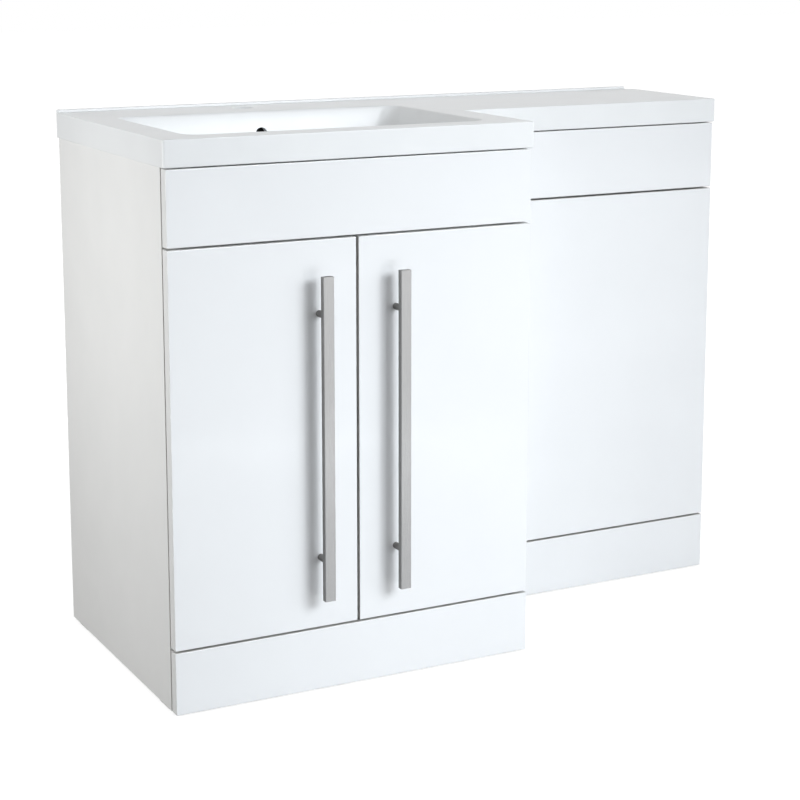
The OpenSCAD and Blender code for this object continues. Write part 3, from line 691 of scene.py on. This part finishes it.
def is_upright(e, x, y):
    """True for an upright edge at this place in plan."""
    return all(near(v.co.x, x) and near(v.co.y, y) for v in e.verts)


def round_corners(piece):
    """Rounds the upright corners, the far one at the wall more than the others."""
    w = SKIRT_W
    for x, y in [(X_LEFT, Y_FRONT), (X_STEP, Y_FRONT), (X_STEP, Y_STEP), (X_RIGHT, Y_STEP), (X_LEFT, Y_WALL),
                 (X_LEFT + w, Y_FRONT + w), (X_STEP - w, Y_FRONT + w), (X_STEP - w, Y_STEP + w),
                 (X_RIGHT - w, Y_STEP + w), (X_LEFT + w, Y_WALL - w), (X_RIGHT - w, Y_WALL - w)]:
        choose(piece, "EDGE", lambda e: is_upright(e, x, y))
        bevel(CORNER_R, 5)
    choose(piece, "EDGE", lambda e: is_upright(e, X_RIGHT, Y_WALL))
    bevel(WALL_CORNER_R, 10)


def is_soft_edge(e):
    """Edges round the top of the slab and of the lip, and where the lip rises."""
    return is_corner(e) and (flat_at(e, 2, LIP_Z) or flat_at(e, 2, SURFACE_Z)
                             or middle(e).z > SURFACE_Z + NEAR)


def moulded_slab():
    """L slab with a lip at the wall and a thick band round its hollow underside, still open for the bowl."""
    deselect()
    x, y = (X_LEFT + X_STEP) / 2, (Y_FRONT + Y_WALL) / 2
    bpy.ops.mesh.primitive_plane_add(size=1, location=(x, y, SURFACE_Z))
    bpy.context.object.scale = (X_STEP - X_LEFT, Y_WALL - Y_FRONT, 1.0)
    piece = placed("top_moulding")
    edit(piece)
    outline_of_top(piece)
    choose(piece, "FACE", lambda f: True)
    draw_out(0, 0, SKIRT_Z - SURFACE_Z)
    turn_outward()
    choose(piece, "FACE", lambda f: flat_at(f, 2, SKIRT_Z))
    bpy.ops.mesh.inset(thickness=SKIRT_W, depth=0, use_boundary=True)
    draw_out(0, 0, DECK_Z - SKIRT_Z)
    round_corners(piece)

    # lip along the wall
    lip_y = Y_WALL - LIP_T
    choose(piece, "FACE", lambda f: flat_at(f, 2, SURFACE_Z))
    split_at(1, lip_y)
    choose(piece, "FACE", lambda f: flat_at(f, 2, SURFACE_Z) and middle(f).y > lip_y)
    split_at(0, LIP_END_X)
    choose(piece, "FACE", lambda f: flat_at(f, 2, SURFACE_Z) and middle(f).y > lip_y
           and f.calc_center_median().x < LIP_END_X)
    draw_out(0, 0, LIP_Z - SURFACE_Z)
    choose_all()
    bpy.ops.mesh.dissolve_limited(angle_limit=math.radians(0.5))

    # soft edges
    choose(piece, "EDGE", is_soft_edge)
    bevel(TOP_ROUND, 4)
    choose(piece, "EDGE", lambda e: is_corner(e) and flat_at(e, 2, SKIRT_Z))
    bevel(SKIRT_ROUND, 3)
    choose(piece, "FACE", lambda f: f.calc_area() > WIDE_AREA
           and (flat_at(f, 2, SURFACE_Z) or flat_at(f, 2, DECK_Z)))
    bpy.ops.mesh.delete(type="ONLY_FACE")
    return piece


def moulded_bowl(piece):
    """One run of rings from the rim down the inside, through the waste bore and up the outside."""
    rings = [(z, BOWL_W - 2 * lean, BOWL_D - 2 * lean, radius, 0.0) for z, lean, radius in BOWL_LEVELS]
    rings += FLOOR_LEVELS
    rings += [(z, 2 * radius, 2 * radius, None, 1.0) for z, radius in SUMP_LEVELS]
    rings += SHELL_LEVELS
    last = None
    for z, width, depth, radius, share in rings:
        y = BOWL_Y + share * (WASTE_Y - BOWL_Y)
        if radius is None:
            circle(width / 2, y, z, RING_COUNT)
        else:
            ring(width, depth, y, z, radius)
        if last:
            bridge(piece, last, (z, width, depth, y))
        last = (z, width, depth, y)


def tap_hole(piece):
    last = None
    for z, radius in TAP_LEVELS:
        circle(radius, TAP_Y, z, TAP_SIDES)
        if last:
            bridge(piece, last, (z, 2 * radius, 2 * radius, TAP_Y))
        last = (z, 2 * radius, 2 * radius, TAP_Y)


def moulded_top():
    """One-piece top: slab and lip, bowl with its boss and waste bore, tap hole and overflow hole."""
    piece = moulded_slab()
    moulded_bowl(piece)
    tap_hole(piece)
    for z in (SURFACE_Z, DECK_Z):
        choose(piece, "EDGE", lambda e: len(e.link_faces) < 2 and flat_at(e, 2, z))
        bpy.ops.mesh.fill(use_beauty=True)
    choose_all()
    bpy.ops.mesh.remove_doubles(threshold=0.00001)
    turn_outward()
    done()
    bore = add_rod("overflow_bore", (BOWL_X, BOWL_Y, OVERFLOW_Z), (BOWL_X, OVERFLOW_END_Y, OVERFLOW_Z),
                   OVERFLOW_R, 40)
    half, depth, bottom, top = WASTE_SLOT
    slot = add_box("waste_slot", (BOWL_X - half, WASTE_Y, bottom), (BOWL_X + half, WASTE_Y + depth, top))
    cut(piece, [bore, slot])
    return smooth(piece, 32)


# Boards and fronts

BOARD_ROUND = 0.0006
FRONT_ROUND = 0.0011
# How near a point has to be to a side of the board, and to the rounding of an edge, to count as on it
ON_SIDE = 0.00003
EDGE_REACH = 0.00005


def merged_copy(node, name):
    """Copy of a CAD node with its doubles merged and its flat faces whole."""
    piece = copy_of(frame["nodes"][node], name)
    piece.data.materials.clear()
    edit(piece)
    choose_all()
    bpy.ops.mesh.remove_doubles(threshold=DOUBLES)
    bpy.ops.mesh.dissolve_limited(angle_limit=math.radians(0.5))
    done()
    return piece


def soften(node, ending, body, material, width):
    """Dresses a CAD node in a copy with rounded edges."""
    piece = merged_copy(node, node + ending)
    round_edges(piece, width, 2, 35)
    give(smooth(piece, 35), body, node, material)


def paint(piece, materials, index_of):
    """Gives each face the material whose number index_of returns."""
    piece.data.materials.clear()
    for material in materials:
        piece.data.materials.append(material)
    edit(piece)
    for index in range(1, len(materials)):
        choose(piece, "FACE", lambda f: index_of(f) == index)
        piece.active_material_index = index
        bpy.ops.object.material_slot_assign()
    done()


def sides_touched(point, low, high):
    """How many sides of a box a point lies on."""
    return sum(any(near(point[a], side[a], ON_SIDE) for side in (low, high)) for a in range(3))


def edged_board(node, body, face, edge, back=None, width=BOARD_ROUND, steps=2, meets=None):
    """Board or front with rounded outer edges, its holes kept, and its core inside the holes.

    Its faces get face (0), edge (1), core (2), back (3) or, where they look the way of meets, painted gap
    shade (4).
    """
    low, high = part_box(node)
    size = high - low
    thin = min(range(3), key=lambda axis: size[axis])
    piece = merged_copy(node, node + "_shaped")
    edit(piece)
    choose(piece, "EDGE", lambda e: sides_touched(middle(e), low, high) > 1
           and all(sides_touched(v.co, low, high) > 1 for v in e.verts))
    bevel(width, steps)
    # beside a hole the bevel can push a point out of the board by a few hundredths of a millimetre
    for level, is_out in ((high.y, lambda v: v.co.y > high.y), (low.y, lambda v: v.co.y < low.y)):
        choose(piece, "VERT", is_out)
        bpy.ops.transform.resize(value=(1, 0, 1), center_override=(0, level, 0))
    done()
    reach = width + EDGE_REACH

    def is_outer(point):
        return any(point[a] < low[a] + reach or point[a] > high[a] - reach for a in range(3))

    def index_of(f):
        point = f.calc_center_median()
        if not is_outer(point):
            return 2
        if back and f.normal.y > FACING and point[thin] > high[thin] - reach:
            return 3
        # edges that look across a gap get the pale grey of painted shade
        if meets and f.normal.dot(meets) > FACING:
            return 4
        return 0 if abs(f.normal[thin]) > FACING else 1

    paint(piece, [face, edge, CORE] + ([back, GAP_SHADE] if back else []), index_of)
    smooth(piece, 30)
    give(piece, body, node)


def make_boards():
    for node in ("left_side_panel", "middle_side_panel", "base_panel", "shelf", "front_rail", "rear_top_rail",
                 "rear_bottom_rail", "plinth_rail", "cistern_left_panel", "cistern_right_panel",
                 "cistern_top_rail", "cistern_middle_rail", "cistern_rear_rail", "cistern_plinth_rail"):
        edged_board(node, "cabinet", BOARD, BAND)
    up, right, left = Vector((0, 0, 1)), Vector((1, 0, 0)), Vector((-1, 0, 0))
    # meets is the way that the edges with painted gap shade look
    for node, body, meets in (("basin_fascia", "cabinet", None), ("basin_plinth", "cabinet", up),
                              ("cistern_front_panel", "cabinet", up), ("cistern_plinth", "cabinet", up),
                              ("access_fascia", "access_panel", None),
                              ("left_door", "left_door_leaf", right),
                              ("right_door", "right_door_leaf", left)):
        edged_board(node, body, LACQUER, LACQUER_EDGE, BOARD, FRONT_ROUND, 4, meets)


# Handles

BAR_ROUND = 0.0009
BAR_END_ROUND = 0.0003
POST_ROUND = 0.00025
# Narrow groove turned where a post meets the bar: start, end and depth
GROOVE_START = 0.0012
GROOVE_END = 0.0022
GROOVE_DEPTH = 0.0008


def is_brushed(f):
    """True for the front and the back of a bar."""
    return abs(f.normal.y) > 0.6 and abs(f.normal.z) < 0.2


def handle_bar(side):
    """Flat bar with rounded long edges and nearly sharp ends."""
    node = side + "_handle_bar"
    low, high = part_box(node)
    bar = add_box(node + "_brushed", low, high)
    edit(bar)
    choose(bar, "EDGE", lambda e: runs_along(e, 2))
    bevel(BAR_ROUND, 4)
    choose(bar, "EDGE", lambda e: is_corner(e) and (flat_at(e, 2, low.z) or flat_at(e, 2, high.z)))
    bevel(BAR_END_ROUND, 2)
    done()
    # the sides and ends of the bar get the darker metal that paints their shade
    paint(bar, [BRUSHED, PAINTED_SHADE_METAL], lambda f: 0 if is_brushed(f) else 1)
    give(smooth(bar), side + "_door_leaf", node)


def handle_posts(side):
    node = side + "_handle_posts"
    posts = []
    for low, high in islands(node):
        x, z = (low.x + high.x) / 2, (low.z + high.z) / 2
        post = add_rod("post", (x, low.y, z), (x, high.y, z), (high.x - low.x) / 2, 40)
        edit(post)
        for start in (GROOVE_START, GROOVE_END):
            choose_all()
            split_at(1, low.y + start)
        groove_y = low.y + (GROOVE_START + GROOVE_END) / 2
        choose(post, "FACE", lambda f: abs(f.normal.y) < 0.5 and near(middle(f).y, groove_y, 0.0003))
        bpy.ops.mesh.extrude_region_shrink_fatten(TRANSFORM_OT_shrink_fatten={"value": -GROOVE_DEPTH})
        done()
        posts.append(round_edges(post, POST_ROUND))
    posts = smooth(join(node + "_turned", posts))
    # the posts get the darker metal that paints their shade
    give(posts, side + "_door_leaf", node, PAINTED_SHADE_METAL)


# Fittings

# Head radius, head height and shank radius
PAN_SCREW = (0.004, 0.0025, 0.0019)
STUD_SCREW = (0.00315, 0.0017, 0.0017)
CUP_SCREW = (0.0032, 0.0012, 0.0017)
SCREW_RIDGES = 5
# Widths between the ridges and at the point, as a share of the shank's
RIDGE_SHARE = 0.78
POINT_SHARE = 0.3
CAM_R = 0.0075
CAM_DEPTH = 0.0125
CAM_RIM = 0.0012
CAM_DISH = 0.0004


def islands(node):
    """Lowest and highest corner of each separate solid of a CAD node."""
    shape = bmesh.new()
    shape.from_mesh(frame["nodes"][node].data)
    bmesh.ops.remove_doubles(shape, verts=shape.verts, dist=DOUBLES)
    left = set(shape.verts)
    found = []
    while left:
        group = [left.pop()]
        for vert in group:
            for edge in vert.link_edges:
                other = edge.other_vert(vert)
                if other in left:
                    left.discard(other)
                    group.append(other)
        low = Vector(min(v.co[a] for v in group) for a in range(3))
        high = Vector(max(v.co[a] for v in group) for a in range(3))
        found.append((low, high))
    shape.free()
    return sorted(found, key=lambda box: tuple(round(c, 4) for c in (*box[0], *box[1])))


def spread_copies(pattern, name, places):
    """Joins one copy of pattern for each place and way it points; pattern points along +Z."""
    copies = []
    for place, way in places:
        twin = copy_of(pattern, name + "_one")
        twin.rotation_euler = Vector(way).to_track_quat("Z", "Y").to_euler()
        twin.location = place
        copies.append(twin)
    bpy.data.objects.remove(pattern)
    piece = join(name, copies)
    only(piece)
    settle()
    return piece


def cut_cross(piece, reach, half_width, low, high):
    """Cuts a cross recess between two heights."""
    for x, y in ((reach, half_width), (half_width, reach)):
        cut(piece, [add_box("recess", (-x, -y, low), (x, y, high))])


def screw(head_r, head_t, shank_r, length):
    """Pan head screw along +Z with its head on z 0, a cross recess and a ridged shank."""
    head = add_rod("head", (0, 0, 0), (0, 0, head_t), head_r, 28)
    edit(head)
    choose(head, "EDGE", lambda e: flat_at(e, 2, head_t) and len(e.link_faces) == 2)
    bevel(min(head_t * 0.55, head_r * 0.4), 4)
    done()
    cut_cross(head, reach=head_r * 0.52, half_width=head_r * 0.13, low=head_t * 0.4, high=head_t + 0.001)
    shank = add_rod("shank", (0, 0, -length), (0, 0, 0.0002), shank_r, 14)
    edit(shank)
    levels = [-length * k / (2 * SCREW_RIDGES) for k in range(1, 2 * SCREW_RIDGES)]
    for z in levels:
        choose_all()
        split_at(2, z)
    for z, share in [(z, RIDGE_SHARE) for z in levels[::2]] + [(-length, POINT_SHARE)]:
        choose(shank, "EDGE", lambda e: flat_at(e, 2, z))
        bpy.ops.transform.resize(value=(share, share, 1), center_override=(0, 0, z))
    done()
    return smooth(join("screw", [head, shank]), 45)


def screws_of(node, body, size, way_of=None):
    """One screw for each solid of a node, its head at the higher end, or at the end that way_of gives."""
    head_r, head_t, shank_r = size
    boxes = islands(node)
    axis = max(range(3), key=lambda a: boxes[0][1][a] - boxes[0][0][a])
    length = boxes[0][1][axis] - boxes[0][0][axis]
    places = []
    for low, high in boxes:
        way = way_of(low, high) if way_of else 1
        place = (low + high) / 2
        place[axis] = (high[axis] if way > 0 else low[axis]) - way * head_t
        direction = [0, 0, 0]
        direction[axis] = way
        places.append((place, direction))
    pattern = screw(head_r, head_t, shank_r, length - head_t)
    piece = spread_copies(pattern, node + "_cross_head", places)
    give(piece, body, node, ZINC)


def inward(low, high):
    """Way from a side panel of the basin cabinet into it."""
    return 1 if low.x < BOWL_X else -1


def make_screws():
    screws_of("front_screws", "cabinet", PAN_SCREW)
    screws_of("hinge_plate_screws", "cabinet", PAN_SCREW, inward)
    screws_of("hinge_arm_screws", "cabinet", PAN_SCREW, inward)
    screws_of("clip_stud_screws", "access_panel", STUD_SCREW)
    for side in ("left", "right"):
        screws_of(side + "_handle_screws", side + "_door_leaf", PAN_SCREW)
        screws_of(side + "_cup_screws", side + "_door_leaf", CUP_SCREW)


def make_cams():
    """Cast cam with a cross recess and a pointer, flush with the board at its mouth."""
    cam = add_rod("cam", (0, 0, -CAM_DEPTH), (0, 0, 0), CAM_R, 36)
    edit(cam)
    choose(cam, "FACE", lambda f: flat_at(f, 2, 0))
    bpy.ops.mesh.inset(thickness=CAM_RIM, depth=0)
    draw_out(0, 0, -CAM_DISH)
    done()
    round_edges(cam, 0.0002)
    cut_cross(cam, reach=0.0036, half_width=0.0008, low=-0.003, high=0.001)
    pointer = add_rod("pointer", (0.0050, 0, -0.0009), (0.0050, 0, 0.001), 0.0011, 3)
    cut(cam, [pointer])
    smooth(cam, 40)
    places = []
    for low, high in islands("cams"):
        size = high - low
        place = (low + high) / 2
        # a cam that is lower than it is wide opens downward, the others open toward the wall
        if size.z < size.x - 0.001:
            place.z = low.z
            places.append((place, (0, 0, -1)))
        else:
            place.y = high.y
            places.append((place, (0, 1, 0)))
    give(spread_copies(cam, "cams_cross_slot", places), "cabinet", "cams", ZINC)


def make_bolts():
    """Cap nuts of the bolts that join the two cabinets."""
    piece = merged_copy("cabinet_bolts", "cabinet_bolts_domed")
    round_edges(piece, 0.0007, 3)
    give(smooth(piece), "cabinet", "cabinet_bolts", ZINC)


# Hinges

CUP_X = 0.0132
CUP_R = 0.0175
CUP_WALL = 0.0012
PLATE_LOW = (-0.003, 0.009, -0.028)
PLATE_HIGH = (0.030, 0.0102, 0.028)
PLATE_CORNER_R = 0.0075
HOLE_X = 0.0172
HOLE_R = 0.0018
HOLE_ZS = (-0.024, 0.024)
# Low and high z of the lugs
LUG_ZS = ((0.0048, 0.0096), (-0.0096, -0.0048))


def hinge_cup():
    """Hollow pressed cup with a rim plate, two lugs for the pin and screw holes, in the pin's frame."""
    body = add_rod("cup", (CUP_X, -0.004, 0), (CUP_X, 0.0092, 0), CUP_R, 48)
    plate = add_box("plate", PLATE_LOW, PLATE_HIGH)
    edit(plate)
    choose(plate, "EDGE", lambda e: runs_along(e, 1))
    bevel(PLATE_CORNER_R, 6)
    done()
    cut(body, [plate], "UNION")
    cut(body, [add_rod("well", (CUP_X, -0.0034, 0), (CUP_X, 0.012, 0), CUP_R - CUP_WALL, 48)])
    for z in HOLE_ZS:
        cut(body, [add_rod("hole", (HOLE_X, 0.0085, z), (HOLE_X, 0.012, z), HOLE_R, 20)])
    round_edges(body, 0.0003)
    lugs = []
    for low, high in LUG_ZS:
        lug = add_box("lug", (-0.0028, -0.0036, low), (0.0042, 0.0022, high))
        round_edges(lug, 0.0009, 3)
        lugs.append(lug)
    return smooth(join("cup", [body] + lugs), 35)


def make_hinges():
    for side in ("left", "right"):
        body = side + "_door_leaf"
        cups = []
        for z in HINGE_ZS:
            cup = hinge_cup()
            if side == "right":
                cup.scale.x = -1
            cup.location = (PIN_XS[side], PIN_Y, z)
            only(cup)
            settle()
            if side == "right":
                edit(cup)
                turn_outward()
                done()
            cups.append(cup)
        node = side + "_hinge_cups"
        give(join(node + "_pressed", cups), body, node, STEEL)
    soften("hinge_arms", "_pressed", "cabinet", STEEL, 0.0005)
    soften("hinge_plates", "_pressed", "cabinet", STEEL, 0.0004)


# Plastic parts

DOME_ROUND = 0.0019
PAD_CORNER_R = 0.0045
PAD_ROUND = 0.0008


def make_bumpers():
    for side in ("left", "right"):
        node = side + "_bumpers"
        domes = []
        for low, high in islands(node):
            x, z = (low.x + high.x) / 2, (low.z + high.z) / 2
            dome = add_rod("dome", (x, low.y, z), (x, high.y, z), (high.x - low.x) / 2, 28)
            edit(dome)
            choose(dome, "EDGE", lambda e: flat_at(e, 1, high.y))
            bevel(DOME_ROUND, 6)
            done()
            domes.append(dome)
        give(smooth(join(node + "_domed", domes)), side + "_door_leaf", node, RUBBER)


def make_glides():
    pads = []
    for low, high in islands("glides"):
        pad = add_box("pad", low, high)
        edit(pad)
        choose(pad, "EDGE", lambda e: runs_along(e, 2))
        bevel(PAD_CORNER_R, 5)
        choose(pad, "EDGE", lambda e: flat_at(e, 2, low.z))
        bevel(PAD_ROUND, 2)
        done()
        pads.append(pad)
    give(smooth(join("glides_rounded", pads)), "cabinet", "glides", DARK_PLASTIC)


def make_small_plastics():
    soften("front_spacers", "_soft", "cabinet", WHITE_PLASTIC, 0.0004)
    soften("clip_sockets", "_soft", "cabinet", WHITE_PLASTIC, 0.0004)
    soften("clip_studs", "_soft", "access_panel", WHITE_PLASTIC, 0.0005)
    soften("overflow_duct", "_soft", "cabinet", DARK_PLASTIC, 0.0010)
    soften("shelf_pins", "_soft", "cabinet", STEEL, 0.0005)


def dress_kept_nodes():
    """Finish of the CAD nodes whose own shape stays."""
    for node, material in (("cam_bolts", ZINC), ("clip_blocks", BOARD), ("left_hinge_pins", STEEL),
                           ("right_hinge_pins", STEEL)):
        kept = frame["nodes"][node]
        kept.data.materials.clear()
        kept.data.materials.append(material)


give(moulded_top(), "cabinet", "basin_top", RESIN)
make_boards()
for side in ("left", "right"):
    handle_bar(side)
    handle_posts(side)
make_screws()
make_cams()
make_bolts()
make_hinges()
make_bumpers()
make_glides()
make_small_plastics()
dress_kept_nodes()


# Camera, light and floor

# Lamps: place, target, width and height, power, spread in degrees, colour, and if glossy faces show it
LAMPS = {
    "key_lamp": ((0.86, -2.70, 1.60), (-0.28, -0.10, 0.20), (1.3, 1.1), 10.0, 70, (0.925, 0.967, 1.0), True),
    "broad_lamp": ((5.00, -5.00, 1.70), (0.0, 0.0, 0.45), (3.0, 2.0), 64.0, 180, (0.94, 0.975, 1.0), True),
    "low_lamp": ((0.16, -1.70, 0.12), (-0.25, -0.20, 0.30), (1.0, 0.16), 3.7, 180, (0.94, 0.975, 1.0), False),
    "side_lamp": ((-1.80, -0.05, 0.82), (-0.55, 0.0, 0.63), (0.8, 0.8), 3.98, 90, (0.99, 1.0, 0.995), True),
    "wall_lamp": ((1.2, 2.8, 2.4), (0.0, 0.2, 0.4), (1.6, 1.6), 51.0, 180, (1.0, 1.0, 1.0), False),
}

FILL_COLOUR = (1.0, 0.985, 0.955)
SKY_COLOUR = (0.985, 0.992, 1.0)

# Directions between which the fill turns from left to right, and the sky from horizon to zenith
FILL_TURN = (-0.7, 0.7)
SKY_TURN = (0.1, 0.8)

# Places on the floor between which it turns from left to right, and distances over which it gets brighter
FLOOR_TURN = (-1.4, 0.0)
SEEN_FADE = (0.8, 2.2)
MIRROR_FADE = (0.4, 3.2)
MIRROR_NEAR = 0.6


def camera():
    data = bpy.data.cameras.new("photo_camera")
    holder = bpy.data.objects.new("photo_camera", data)
    put_in_scene(holder)
    data.sensor_width = 36.0
    data.lens = 87.777
    data.shift_y = -0.14
    pitch, yaw = 10.206, 27.431
    holder.location = (-1.4949, -2.7555, 1.1206)
    holder.rotation_euler = (math.radians(90 - pitch), 0, math.radians(-yaw))
    bpy.context.scene.camera = holder


def lamp(name, place, target, size, power, spread, colour, glossy):
    data = bpy.data.lights.new(name, "AREA")
    data.shape = "RECTANGLE"
    data.size, data.size_y = size
    data.energy = power
    data.spread = math.radians(spread)
    data.color = colour
    holder = bpy.data.objects.new(name, data)
    put_in_scene(holder)
    holder.location = place
    holder.rotation_euler = (Vector(target) - Vector(place)).to_track_quat("-Z", "Y").to_euler()
    holder.visible_glossy = glossy


def feed(tree, socket, value):
    """Gives a socket a number, or links it to another socket."""
    if isinstance(value, (int, float)):
        socket.default_value = value
    else:
        tree.links.new(value, socket)


def new_math(tree, operation, first, second):
    """Math node fed by two sockets or numbers."""
    node = tree.nodes.new("ShaderNodeMath")
    node.operation = operation
    feed(tree, node.inputs[0], first)
    feed(tree, node.inputs[1], second)
    return node.outputs["Value"]


def seen_in_things(tree, path):
    """1 for rays from glossy faces and through clear ones."""
    return new_math(tree, "MAXIMUM", path.outputs["Is Glossy Ray"], path.outputs["Is Transmission Ray"])


def new_range(tree, value, low, high, start, end):
    """Smooth change from start to end while value goes from low to high."""
    node = tree.nodes.new("ShaderNodeMapRange")
    node.interpolation_type = "SMOOTHSTEP"
    labels = ("Value", "From Min", "From Max", "To Min", "To Max")
    for label, level in zip(labels, (value, low, high, start, end)):
        feed(tree, node.inputs[label], level)
    return node.outputs["Result"]


def new_glow(tree, colour, strength):
    """Plain background of the given colour and strength."""
    node = new_node(tree, "ShaderNodeBackground", Color=(*colour, 1.0))
    feed(tree, node.inputs["Strength"], strength)
    return node.outputs["Background"]


def new_mix(tree, share, one, other):
    """Shader that goes from one to the other with share."""
    node = tree.nodes.new("ShaderNodeMixShader")
    for socket, value in zip(node.inputs, (share, one, other)):
        tree.links.new(value, socket)
    return node.outputs["Shader"]


def surroundings(fill, sky):
    """White behind the object, pale in its reflections, and a soft fill that comes more from the right."""
    world = bpy.data.worlds.new("studio")
    bpy.context.scene.world = world
    world.use_nodes = True
    tree = world.node_tree
    white = tree.nodes["Background"]
    white.inputs["Color"].default_value = (1.0, 1.0, 1.0, 1.0)
    path = tree.nodes.new("ShaderNodeLightPath")
    place = tree.nodes.new("ShaderNodeTexCoord")
    split = tree.nodes.new("ShaderNodeSeparateXYZ")
    wire(tree, (place, "Generated", split, "Vector"))
    soft = new_glow(tree, FILL_COLOUR, new_range(tree, split.outputs["X"], *FILL_TURN, *fill))
    pale = new_glow(tree, SKY_COLOUR, new_range(tree, split.outputs["Z"], *SKY_TURN, *sky))
    unseen = new_mix(tree, seen_in_things(tree, path), soft, pale)
    whole = new_mix(tree, path.outputs["Is Camera Ray"], unseen, white.outputs["Background"])
    tree.links.new(whole, tree.nodes["World Output"].inputs["Surface"])


def pale_floor(matt, seen, mirrored):
    """White floor that keeps the object's shadow. Each pair of levels is for its left and its right."""
    deselect()
    bpy.ops.mesh.primitive_plane_add(size=40, location=(0, 0, 0))
    piece = placed("floor")
    material = bpy.data.materials.new("pale_floor")
    material.use_nodes = True
    tree = material.node_tree
    tree.nodes.remove(tree.nodes["Principled BSDF"])
    path = tree.nodes.new("ShaderNodeLightPath")
    place = tree.nodes.new("ShaderNodeTexCoord")
    split = tree.nodes.new("ShaderNodeSeparateXYZ")
    reach = tree.nodes.new("ShaderNodeVectorMath")
    reach.operation = "LENGTH"
    wire(tree, (place, "Object", split, "Vector"), (place, "Object", reach, 0))
    across, away = split.outputs["X"], reach.outputs["Value"]
    base = tree.nodes.new("ShaderNodeBsdfDiffuse")
    tree.links.new(new_range(tree, across, *FLOOR_TURN, *matt), base.inputs["Color"])
    near_seen = new_range(tree, across, *FLOOR_TURN, *seen)
    to_lens = new_range(tree, away, *SEEN_FADE, near_seen, 1.0)
    far_mirrored = new_range(tree, across, *FLOOR_TURN, *mirrored)
    fade = new_range(tree, away, *MIRROR_FADE, MIRROR_NEAR, 1.0)
    to_things = new_math(tree, "MULTIPLY", far_mirrored, fade)
    lens_part = new_math(tree, "MULTIPLY", path.outputs["Is Camera Ray"], to_lens)
    things_part = new_math(tree, "MULTIPLY", seen_in_things(tree, path), to_things)
    glow = tree.nodes.new("ShaderNodeEmission")
    tree.links.new(new_math(tree, "ADD", lens_part, things_part), glow.inputs["Strength"])
    both = tree.nodes.new("ShaderNodeAddShader")
    wire(tree, (base, "BSDF", both, 0), (glow, "Emission", both, 1),
         (both, "Shader", tree.nodes["Material Output"], "Surface"))
    piece.data.materials.append(material)


bpy.context.scene.view_settings.view_transform = "Standard"
camera()
surroundings(fill=(0.31, 0.34), sky=(0.85, 1.0))
pale_floor(matt=(0.14, 0.46), seen=(0.93, 0.77), mirrored=(0.46, 0.95))
for lamp_name, settings in LAMPS.items():
    lamp(lamp_name, *settings)
